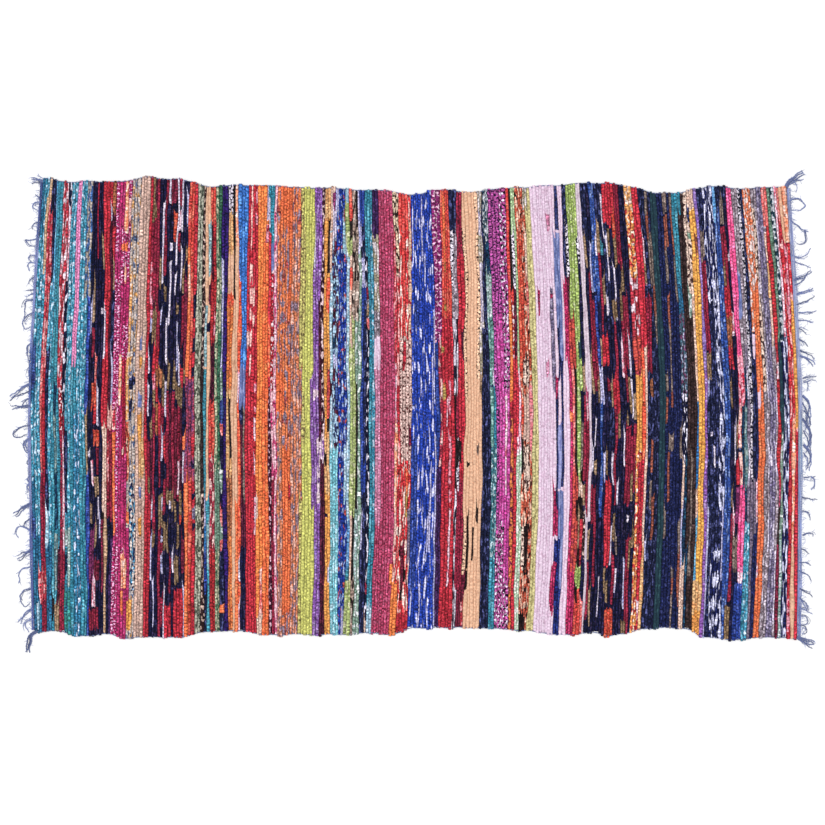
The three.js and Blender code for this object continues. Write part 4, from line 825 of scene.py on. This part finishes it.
# Some rags were torn thinner than the rest, and the strips beside them fill the room they leave.
THIN_RAGS = {
    "white": 0.42, "lavender_white": 0.43, "blush_white": 0.58, "khaki": 0.7, "tan": 0.75, "cream": 0.68,
    "crimson": 0.85, "black": 0.55, "brown_black": 0.6, "coral": 0.7, "rust": 0.7, "taupe": 0.7,
    "green": 0.75, "cerise": 0.6, "wine": 0.75, "petrol": 0.75, "pale_green": 0.75, "light_green": 0.7,
    "azure": 0.6, "pale_azure": 0.6, "pink": 0.75, "raspberry": 0.8, "ink_streak": 0.7, "indigo_navy": 0.65,
    "chalk_pink": 0.8,
}
SWELLS = ((0.045, 0.0008), (0.019, 0.0005), (0.009, 0.0002))  # length for a radian of a wave, its height
LEAST_ROOM = 0.0021  # for a strip that its neighbours press on
LEAST_WIDTH = 0.0018
SHARED_STRIPS = 6  # on each side, that take up the room a thin rag leaves
thin = np.array([THIN_RAGS.get(name, 1) for name in names])[laid]
for step in (3, 2, 1):
    thin = (np.roll(thin, step, 1) + thin + np.roll(thin, -step, 1)) / 3
swell = np.zeros(edges.shape)
for wave, size in SWELLS:
    wave = wave * chance.uniform(0.8, 1.25, (STRIPS + 1, 1))
    swell += size * np.sin(across / wave + chance.uniform(0, 6.3, (STRIPS + 1, 1)))
swell[[0, -1]] = 0
room = np.maximum(np.diff(edges + swell, axis=0), LEAST_ROOM) * thin
borders = edges[0] + np.insert(np.cumsum(room, 0), 0, 0, 0)
drift = np.pad(borders - edges, ((SHARED_STRIPS, SHARED_STRIPS), (0, 0)), mode="edge")
window = 2 * SHARED_STRIPS + 1
drift = sum(drift[step:step + STRIPS + 1] for step in range(window)) / window
drift[[0, -1]] = (borders - edges)[[0, -1]]
borders -= drift
room = np.maximum(np.diff(borders, axis=0), LEAST_WIDTH)
along = (borders[1:] + borders[:-1]) / 2

# The dyes, stronger than the colours that show, because the weave's hollows darken and dull them.
# The share of a print becomes the level of the noise that its flecks are cut at.
# Fine rags get a painted shade line along the strip where a fold would be, and calm ones are smooth
# cloth with little of the painted shading.
DYE_GAIN = 1.36
DYE_POWER = 1.22
FLECK_SPREAD = 0.062
FINE_RAGS = ("rose", "rose_pink", "crimson", "maroon")
CALM_RAGS = {
    "pale_pink": 1, "peach": 1, "cream_peach": 1, "chalk_pink": 1, "lime": 0.3, "yellow_lime": 0.4,
    "slate": 1, "lavender": 1, "bottle": 1,
}
rags = list(RAGS.values())
faces, prints, accents = (
    np.array([DYE_GAIN * linear(rag[place] if len(rag) > place else rag[0]) ** DYE_POWER for rag in rags])
    for place in (0, 1, 4)
)
amount = np.array([(rag[2], rag[5] if len(rag) > 5 else 0) for rag in rags])
amount = np.where(amount == 0, -1, 0.5 + FLECK_SPREAD * np.log((amount + 1e-6) / (1 - amount)))
doses = np.column_stack([amount, [rag[3] / 1000 for rag in rags], np.ones(len(rags))])
fine = np.array([name in FINE_RAGS for name in names], float)
calm = np.array([CALM_RAGS.get(name, 0) for name in names], float)

# The roll of a strip: its section is flattened, and a little wider and higher at every other point.
FLATNESS = 0.62  # height of the section over its width
OVER_GIRTH = 0.62  # half the section's width, as a share of the strip's room
UNDER_GIRTH = 0.595
REST_HEIGHT = 0.0027  # of the middle of a strip that is 6 mm wide
FULL_GIRTH = 0.0030
LIFT = 0.4  # share of the thickness that a narrow strip lacks, by which it is lifted
WEAVE_RISE = 0.0002
FLOOR_GAP = 0.0001
PAIR_SPREAD = 0.0016  # of the strips' turns, by pairs
SINGLE_SPREAD = 0.0008
UPPER_INSET = 0.0010  # of the turns from the charted selvedges
LOWER_INSET = 0.0003
over = (lane + np.arange(len(across))) % 2 == 0
girth = room * np.where(over, OVER_GIRTH, UNDER_GIRTH)
height = REST_HEIGHT + LIFT * FLATNESS * (FULL_GIRTH - girth) + np.where(over, WEAVE_RISE, -WEAVE_RISE)
height = np.maximum(height, FLATNESS * girth + FLOOR_GAP)
pairs = np.repeat(chance.normal(0, PAIR_SPREAD, (2, STRIPS // 2 + 1)), 2, axis=1)
bump = pairs + chance.normal(0, SINGLE_SPREAD, (2, STRIPS + 2))
upper_end = eased(UPPER_SELVEDGE, 1, along[:, -1]) - UPPER_INSET + bump[0, :STRIPS]
lower_end = -eased(LOWER_SELVEDGE, 1, along[:, 0]) + LOWER_INSET + bump[1, 1:STRIPS + 1]

TURN_ROOM = 0.0012  # from the last row of points to a strip's end
TURN_GIRTH = 0.6  # share of the girth left there
LONGEST_SLANT = 0.018  # of a join, where the rags are long enough
FREE_END = 0.03  # counted as free past a strip's ends, for the slant of a join near them
HANDOVER = 0.00004  # from halfway between two joins to the points on each side of it


def strip_line(strip):
    """One strip of the weft. Each point knows its nearest join and the rags before and after it."""
    inside = (across > lower_end[strip] + TURN_ROOM) & (across < upper_end[strip] - TURN_ROOM)
    y, rag = across[inside], laid[strip][inside]
    change = np.flatnonzero(rag[1:] != rag[:-1])
    joins = (y[change] + y[change + 1]) / 2 if len(change) else y[:1]
    before, after = (rag[change], rag[change + 1]) if len(change) else (rag[:1], rag[:1])
    free = np.diff(np.concatenate([[y[0] - FREE_END], joins, [y[-1] + FREE_END]]))
    reach = np.minimum(LONGEST_SLANT, 0.4 * np.minimum(free[1:], free[:-1]))
    slant = chance.uniform(-1, 1, len(joins)) * reach
    halfway = (joins[1:] + joins[:-1]) / 2
    ends = [[lower_end[strip], upper_end[strip]], halfway - HANDOVER, halfway + HANDOVER]
    y = np.sort(np.concatenate([y, *ends]))
    thick = np.interp(y, across, girth[strip])
    thick[[0, -1]] *= TURN_GIRTH
    near = np.searchsorted(halfway, y)
    points = [np.interp(y, across, along[strip]), y, np.interp(y, across, height[strip])]
    line = {
        "points": np.stack(points, 1) + (*MIDDLE, 0),
        "girth": thick,
        "lane": np.full(len(y), strip),
        "across": y,
        "calm": np.where(y < joins[near], calm[before][near], calm[after][near]),
        "cut": np.stack([y - joins[near], slant[near], np.maximum(fine[before], fine[after])[near]], 1),
    }
    for end, side in (("_lower", before), ("_upper", after)):
        for key, table in (("face", faces), ("print", prints), ("accent", accents), ("dose", doses)):
            line[key + end] = table[side[near]]
    return line


rag_cloth = cotton("rag_cloth", cloth_colour_and_shade, 0.5, 0.0008)
for first in range(0, STRIPS, BAND_STRIPS):
    strips = range(first, min(first + BAND_STRIPS, STRIPS))
    lines = [strip_line(strip) for strip in strips]
    name = f"rag_strips_{first // BAND_STRIPS + 1}"
    piece = swept(name, lines, {"Sides": 6, "Flatness": FLATNESS, "Finish": rag_cloth})
    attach(piece, "root")
    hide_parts("rug_cloth")

# The warp at the two short ends: two-ply blue-grey cotton yarn. A few rows of it are woven across as a
# narrow heading. Past that the warp ends hang loose, some in pairs, some bent back into loops, with a
# tassel at most corners.
PIXEL = 0.0019685  # one pixel of the photo, measured on the rug
PHOTO_MIDDLE = 412  # column and line of the photo's middle
PHOTO_PLACE = (-0.00287, -0.0029)  # of that middle, in the frame
YARN = 0.00105  # girth of a yarn in the heading

# The locks of loose ends: how many strands, how thick, and the columns and lines of the photo they pass.
LEFT_LOCKS = [
    (2, 1.1, (44, 181), (38, 179), (31, 178)), (1, 1, (44, 182), (37, 182), (31, 183)),
    (1, 1, (42, 199), (38, 197), (34, 195)), (1, 1, (40, 202), (34, 202), (32, 206), (35, 209), (40, 210)),
    (1, .9, (38, 222), (33, 224), (32, 229)), (1, 1, (38, 238), (30, 240), (25, 240), (28, 244), (37, 247)),
    (1, .9, (36, 256), (30, 255), (27, 258), (31, 261)),
    (1, .9, (35, 263), (29, 262), (27, 266), (30, 270)), (1, .9, (34, 276), (30, 279), (29, 284)),
    (1, .8, (34, 289), (30, 290), (26, 291)), (1, .8, (33, 293), (29, 294), (25, 296)),
    (1, 1, (33, 300), (26, 301), (24, 308), (24, 318)),
    (1, 1, (33, 312), (26, 316), (22, 323), (24, 329), (30, 326)),
    (1, 1, (31, 343), (27, 346), (27, 354), (29, 361)), (1, .9, (31, 365), (28, 370), (29, 376)),
    (2, 1.1, (31, 383), (22, 387), (15, 393), (10, 397)), (1, 1, (31, 390), (20, 394), (9, 400)),
    (1, 1, (31, 398), (25, 400), (21, 405)), (2, 1, (30, 406), (20, 406), (11, 407)),
    (1, 1.1, (30, 425), (20, 427), (13, 433), (17, 437), (26, 435)),
    (2, 1.2, (31, 437), (25, 441), (24, 446), (29, 453)), (1, .9, (30, 457), (27, 461), (28, 466)),
    (1, 1, (30, 474), (27, 478), (29, 483)), (1, 1, (30, 482), (27, 486), (30, 491)),
    (3, 1.1, (31, 503), (22, 508), (14, 515)), (1, .9, (31, 518), (25, 521), (22, 526)),
    (1, 1, (30, 530), (21, 526), (16, 530), (17, 538)), (2, 1, (32, 548), (24, 554), (18, 560)),
    (1, .9, (31, 552), (22, 552), (17, 556)), (1, 1, (32, 566), (23, 568), (19, 573), (18, 583)),
    (1, 1, (31, 588), (23, 590), (20, 598), (23, 606), (29, 603)), (2, 1, (32, 608), (25, 613), (19, 623)),
    (1, 1, (34, 619), (26, 621), (25, 627), (28, 632)), (3, 1.3, (37, 630), (30, 636), (27, 652)),
]
RIGHT_LOCKS = [
    (3, 1.3, (784, 189), (790, 180), (803, 172)), (1, 1.1, (786, 186), (794, 181), (803, 178)),
    (1, .7, (792, 180), (796, 185), (796, 192)),
    (1, 1, (787, 201), (797, 198), (805, 205), (800, 209), (789, 209)),
    (1, 1, (790, 220), (797, 225), (801, 229), (808, 231)),
    (1, 1, (804, 230), (805, 237), (803, 243), (796, 243)),
    (1, .9, (790, 254), (798, 257), (804, 255), (811, 248)), (1, .9, (792, 261), (802, 264), (810, 268)),
    (2, 1, (793, 280), (803, 276), (811, 271)), (1, 1, (794, 285), (801, 281), (808, 273)),
    (2, 1.1, (796, 294), (805, 291), (813, 289)), (1, 1, (796, 304), (805, 301), (814, 295)),
    (1, 1, (798, 312), (808, 312), (816, 310)), (1, 1, (797, 320), (806, 320), (813, 322)),
    (1, .9, (798, 328), (803, 330), (806, 334)), (1, 1, (798, 338), (803, 341), (807, 346)),
    (1, 1, (799, 350), (808, 354), (814, 359)), (2, 1.1, (799, 355), (808, 359), (814, 365)),
    (1, 1, (802, 378), (810, 376), (816, 375)), (1, 1, (803, 382), (811, 380), (815, 379)),
    (1, .9, (806, 381), (808, 387), (806, 391)), (2, 1.1, (802, 395), (808, 402), (809, 412), (807, 424)),
    (2, 1.1, (802, 418), (808, 428), (810, 440), (808, 452)),
    (2, 1.1, (803, 444), (809, 452), (810, 462), (807, 470)),
    (1, 1, (802, 402), (806, 411), (806, 420), (804, 430)), (1, .9, (803, 410), (810, 420), (808, 434)),
    (1, 1, (803, 430), (807, 440), (806, 453)), (1, 1, (803, 452), (807, 459), (805, 467)),
    (1, 1, (803, 477), (810, 476), (815, 476)), (1, 1, (810, 476), (814, 480), (811, 490)),
    (1, 1, (801, 497), (810, 498), (817, 499)), (1, 1, (802, 510), (808, 513), (809, 520)),
    (1, 1, (802, 535), (808, 533), (812, 533), (813, 536)), (1, .9, (800, 548), (805, 550), (808, 554)),
    (1, 1, (799, 562), (806, 562), (811, 564)), (1, 1, (798, 570), (806, 574), (811, 581)),
    (1, 1, (799, 588), (806, 592), (812, 597)), (2, 1, (798, 597), (804, 603), (808, 610)),
    (1, 1, (799, 607), (806, 610), (811, 614)), (1, .9, (798, 615), (805, 616), (807, 621), (803, 624)),
    (1, .9, (797, 624), (804, 626), (806, 631), (802, 634)), (3, 1.3, (795, 636), (804, 640), (814, 643)),
    (1, 1.1, (797, 638), (805, 643), (812, 648)),
]

# Tones along each heading: hundredths of the way from the middle to a selvedge, and the colour there.
LEFT_TONES = [
    (-100, "5a66a0"), (-46, "6672ac"), (-40, "8b93c0"), (2, "8b95c6"), (8, "5a6aa4"), (26, "4a62a0"),
    (32, "8b95c6"), (74, "8b95c6"), (80, "5a679c"), (100, "4d5a90"),
]
RIGHT_TONES = [
    (-100, "7f8abc"), (-30, "93a0ca"), (-10, "8fa6c0"), (0, "a0a8cc"), (60, "98a1c8"), (100, "8a94c0"),
]


def distance(path):
    """How far each point of a flat path is from its start, along it."""
    return np.insert(np.cumsum(np.linalg.norm(np.diff(path, axis=0), axis=1)), 0, 0)


def spaced(path, run, even):
    """The path again, with its points at other distances from the start."""
    return np.stack([np.interp(even, run, path[:, i]) for i in (0, 1)], 1)


def directions(path):
    """The direction of a flat path at each point, and the direction to its left."""
    ahead = np.gradient(path, axis=0)
    ahead /= np.linalg.norm(ahead, axis=1)[:, None]
    return ahead, np.stack([-ahead[:, 1], ahead[:, 0]], 1)


def curve_through(stops, step):
    """A smooth flat line through the stops, with points about a step apart."""
    stops = np.array(stops, float)
    ends = np.concatenate([[2 * stops[0] - stops[1]], stops, [2 * stops[-1] - stops[-2]]])
    t = np.linspace(0, 1, 24, endpoint=False)[:, None]
    curve = []
    for a, b, c, d in zip(ends, ends[1:], ends[2:], ends[3:]):
        square = 2 * a - 5 * b + 4 * c - d
        cube = 3 * b - a - 3 * c + d
        curve.append(0.5 * (2 * b + (c - a) * t + square * t**2 + cube * t**3))
    curve = np.concatenate(curve + [stops[-1:]])
    run = distance(curve)
    even = np.linspace(0, run[-1], max(4, int(run[-1] / step)))
    return spaced(curve, run, even), even


TWIST = 0.0016  # along the yarn for each radian that the plies turn
PLY_APART = 0.55  # these five are shares of the yarn's girth
PLY_RISE = 0.45
PLY_GIRTH = 0.72
FRAY_APART = 1.1  # what a frayed tip adds
FRAY_GIRTH = -0.34


def yarn(path, run, girth, rise, tone, fray):
    """The two plies of a yarn twisted round each other along a flat path, parting at a frayed tip."""
    _, left = directions(path)
    late = np.clip((run - run[-1] + fray) / fray, 0, 1) ** 2
    start = chance.uniform(0, 6)
    plies = []
    middle = np.maximum(rise, 1.2 * girth)
    for ply in (0, np.pi):
        angle = run / TWIST + start + ply
        apart = girth * (PLY_APART + FRAY_APART * late)
        flat = path + left * (np.cos(angle) * apart)[:, None]
        plies.append({
            "points": np.column_stack([flat, middle + np.sin(angle) * girth * PLY_RISE]),
            "girth": girth * (PLY_GIRTH + FRAY_GIRTH * late),
            "across": run,
            "face": np.broadcast_to(tone, (len(run), 4)),
        })
    return plies


FIBRE = 0.0004  # girth of a loose fibre
FIBRE_STEP = 0.0012
FIBRE_HEIGHT = 0.0009
FIBRE_ARCH = 0.0008
LONGEST_FIBRE = 0.011
KINK = 0.3  # radians that a fibre turns by chance at each step
CURL = 0.05


def wisp(root, heading, tone, shortest):
    """A loose fibre that leaves the yarn at its root and curls as it goes."""
    tone = linear(tone) * chance.uniform(0.7, 1.3)
    length = chance.uniform(shortest, LONGEST_FIBRE)
    count = max(4, int(length / FIBRE_STEP))
    turns = heading + np.cumsum(chance.normal(0, KINK, count)) + chance.normal(0, CURL) * np.arange(count)
    steps = np.stack([np.cos(turns), np.sin(turns)], 1) * (length / count)
    path = np.concatenate([[root], root + np.cumsum(steps, 0)])
    share = np.linspace(0, 1, count + 1)
    return {
        "points": np.column_stack([path, FIBRE_HEIGHT + FIBRE_ARCH * np.sin(share * 3)]),
        "girth": FIBRE * (1 - 0.5 * share),
        "across": share * length,
        "face": np.broadcast_to(tone, (count + 1, 4)),
    }


def yarn_dye(at):
    """Cotton yarn: its own tone, uneven in small patches, with a fine grain."""
    place = at.node("TexCoord", {}, {}, 3)
    grain = at.noise("3D", place, 420.0, 3.0)
    patch = at.noise("3D", place, 60.0, 1.0)
    return at.scaled(at.attribute("face", 0), 0.55 + 0.5 * grain + 0.45 * patch), grain


HEADING_GAP = 0.0014  # from the last strip to the heading's first row
HEADING_STEP = 0.0025  # from one point of a row to the next
HEADING_HEIGHT = 0.0013
ROW_WAVE = 0.031  # length for a radian of the wave in a row
ROW_STRAY = 0.0005
ROW_SPREAD = 0.0002
CUT_FRAY = 0.001  # length that frays where a yarn is cut short
TONE_STEP = 0.02  # from one change of tone to the next along a row
CORNER = 0.004  # left free of loose fibres at both ends of a heading
FIBRE_SPACING = 0.0045
FIBRE_SPREAD = 0.002
FIBRE_ROOT = 0.0012
FIBRE_FAN = 0.8  # spread of their directions, in radians
SHORTEST_FIBRE = 0.003
FIBRE_TONE = "8d97be"


def heading_lines(side, rows, room, low, high, tones):
    """The rows of yarn woven across one end, and the loose fibres that stand out of them."""
    lines = []
    outermost = STRIPS if side > 0 else 0
    y = np.arange(low, high, HEADING_STEP)
    edge = along_rug(outermost, y)
    heights = np.array([place for place, _ in tones]) / 100 * UPPER_HALF
    shades = [linear(shade) for _, shade in tones]
    tone = np.stack([np.interp(y, heights, [shade[i] for shade in shades]) for i in range(4)], 1)
    changes = np.arange(low, high + TONE_STEP, TONE_STEP)
    for row in range(rows):
        stray = np.sin(y / ROW_WAVE + row * 2) * ROW_STRAY + chance.normal(0, ROW_SPREAD, len(y))
        path = np.stack([edge + side * (HEADING_GAP + row * room + stray), y], 1) + MIDDLE
        uneven = np.interp(y, changes, chance.uniform(0.7, 1.25, len(changes)))
        lines += yarn(path, y - y[0], YARN, HEADING_HEIGHT, tone * uneven[:, None], CUT_FRAY)
    for place in np.arange(low + CORNER, high - CORNER, FIBRE_SPACING):
        place += chance.normal(0, FIBRE_SPREAD)
        root = np.array([along_rug(outermost, place) + side * (FIBRE_ROOT + rows * room), place]) + MIDDLE
        heading = (0 if side > 0 else np.pi) + chance.normal(0, FIBRE_FAN)
        lines.append(wisp(root, heading, FIBRE_TONE, SHORTEST_FIBRE))
    return lines


STRAND_TONE = "707ba6"
STRAND_STEP = 0.0012
STRAND_HEIGHT = 0.0012
TIP_FRAY = 0.006
LOOSE_GIRTH = 0.5  # of a loose strand, as a share of the others
TUFTS = 2  # loose fibres on each strand
TUFT_TONE = "8791bb"
TUFT_FAN = 0.9
SHORTEST_TUFT = 0.004
STRAND_GAP = 0.0019  # between two strands at the heading
STRAND_SPREAD = 0.0022  # what is added to it at the tips
BENDS = ((0.002, 0.0035, 0.0009), (0.005, 0.008, 0.0014))  # range of the length for a radian, and size


def lock_lines(count, thick, stops):
    """The strands of one lock, side by side, with one thinner and shorter strand lying loose among them."""
    lines = []
    x, y = PHOTO_PLACE
    stops = [
        ((column - PHOTO_MIDDLE) * PIXEL + x, (PHOTO_MIDDLE - line) * PIXEL + y) for column, line in stops
    ]
    for strand in range(count + 1):
        loose = strand == count
        place = chance.normal(0, 0.8) if loose else strand - (count - 1) / 2
        path, run = curve_through(stops, STRAND_STEP)
        if loose:
            kept = max(4, int(len(run) * chance.uniform(0.55, 0.95)))
            path, run = path[:kept], run[:kept]
        ahead, left = directions(path)
        share = run / run[-1]
        bend = np.zeros(len(run))
        for shortest, longest, size in BENDS:
            bend += np.sin(run / chance.uniform(shortest, longest) + chance.uniform(0, 6)) * size
        aside = place * (STRAND_GAP + STRAND_SPREAD * share) + bend * (0.15 + 0.85 * share)
        path = path + left * aside[:, None]
        shade = linear(STRAND_TONE) * chance.uniform(0.55, 1.25)
        girth = YARN * thick * (LOOSE_GIRTH if loose else 1) * (1.2 - 0.55 * share)
        lines += yarn(path, run, girth, STRAND_HEIGHT, shade, TIP_FRAY)
        for _ in range(TUFTS):
            spot = chance.integers(len(run) // 3, len(run))
            heading = np.arctan2(ahead[spot, 1], ahead[spot, 0]) + chance.normal(0, TUFT_FAN)
            lines.append(wisp(path[spot], heading, TUFT_TONE, SHORTEST_TUFT))
    return lines


warp_yarn = cotton("warp_yarn", yarn_dye, 0.4, 0.0005)
round_yarn = {"Sides": 5, "Flatness": 1.0, "Finish": warp_yarn}

# Each end: its locks, its side, the heading's rows and the room for one, where it starts and stops, tones.
for name, locks, *heading in (
    ("fringe_left", LEFT_LOCKS, -1, 3, 0.0019, -0.428, 0.457, LEFT_TONES),
    ("fringe_right", RIGHT_LOCKS, 1, 4, 0.0021, -0.443, 0.443, RIGHT_TONES),
):
    lines = heading_lines(*heading)
    for count, thick, *stops in locks:
        lines += lock_lines(count, thick, stops)
    piece = swept(name + "_yarn", lines, round_yarn)
    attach(piece, "root")
    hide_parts(name)

# The outermost warp of each selvedge: a thin yarn of the same cotton that the strips' turns are drawn up
# against. It runs from end to end, over one strip and under the next.
SELVEDGE_GIRTH = 0.0008
SELVEDGE_INSET = 0.0012
SELVEDGE_TONE = "66729c"
SELVEDGE_STEP = 0.0022
SELVEDGE_HEIGHT = 0.0030
SELVEDGE_RISE = 0.0016  # over a strip, and as much under the next
lines = []
for end in (upper_end, lower_end):
    x = np.array([np.interp(end[strip], across, along[strip]) for strip in range(STRIPS)])
    smooth = np.convolve(np.pad(end, 2, mode="edge"), np.ones(5) / 5, mode="valid")
    path = np.stack([x, smooth - np.sign(end) * SELVEDGE_INSET], 1) + MIDDLE
    run = distance(path)
    even = np.arange(0, run[-1], SELVEDGE_STEP)
    rise = SELVEDGE_HEIGHT + SELVEDGE_RISE * np.sin(even * np.pi / PITCH)
    path = spaced(path, run, even)
    lines += yarn(path, even, SELVEDGE_GIRTH, rise, linear(SELVEDGE_TONE), CUT_FRAY)
selvedge = swept("selvedge_yarn", lines, round_yarn)
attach(selvedge, "root")

# The floor: a plain pale studio sheet that the rug lies on. It belongs to the stage and reaches far past
# the rug on all sides.
REACH = 6
corners = [(-REACH, -REACH, 0), (REACH, -REACH, 0), (REACH, REACH, 0), (-REACH, REACH, 0)]
floor_mesh = bpy.data.meshes.new("floor")
floor_mesh.from_pydata(corners, [], [(0, 1, 2, 3)])
floor = bpy.data.objects.new("floor", floor_mesh)
bpy.context.scene.collection.objects.link(floor)
paper = bpy.data.materials.new("paper")
paper.use_nodes = True
paper.node_tree.nodes["Principled BSDF"].inputs["Base Color"].default_value = (0.96, 0.96, 0.96, 1)
paper.node_tree.nodes["Principled BSDF"].inputs["Roughness"].default_value = 0.9
floor_mesh.materials.append(paper)

# The light and the camera: an even white sky with a soft key lamp. The camera looks straight down from
# nearly four metres, so the rug shows face on.
scene = bpy.context.scene
scene.world = bpy.data.worlds.new("sky")
scene.world.use_nodes = True
scene.world.node_tree.nodes["Background"].inputs["Color"].default_value = (1, 1, 1, 1)
scene.world.node_tree.nodes["Background"].inputs["Strength"].default_value = 0.8
key = bpy.data.lights.new("key", "SUN")
key.energy = 1.2
key.angle = 0.35
lamp = bpy.data.objects.new("key", key)
lamp.rotation_euler = (np.radians(-8), np.radians(-18), 0)
scene.collection.objects.link(lamp)
scene.view_settings.view_transform = "Standard"
camera = bpy.data.cameras.new("camera")
camera.lens = 85
camera.sensor_width = 36
viewer = bpy.data.objects.new("camera", camera)
viewer.location = (-0.0029, -0.0029, 3.835)
scene.collection.objects.link(viewer)
scene.camera = viewer
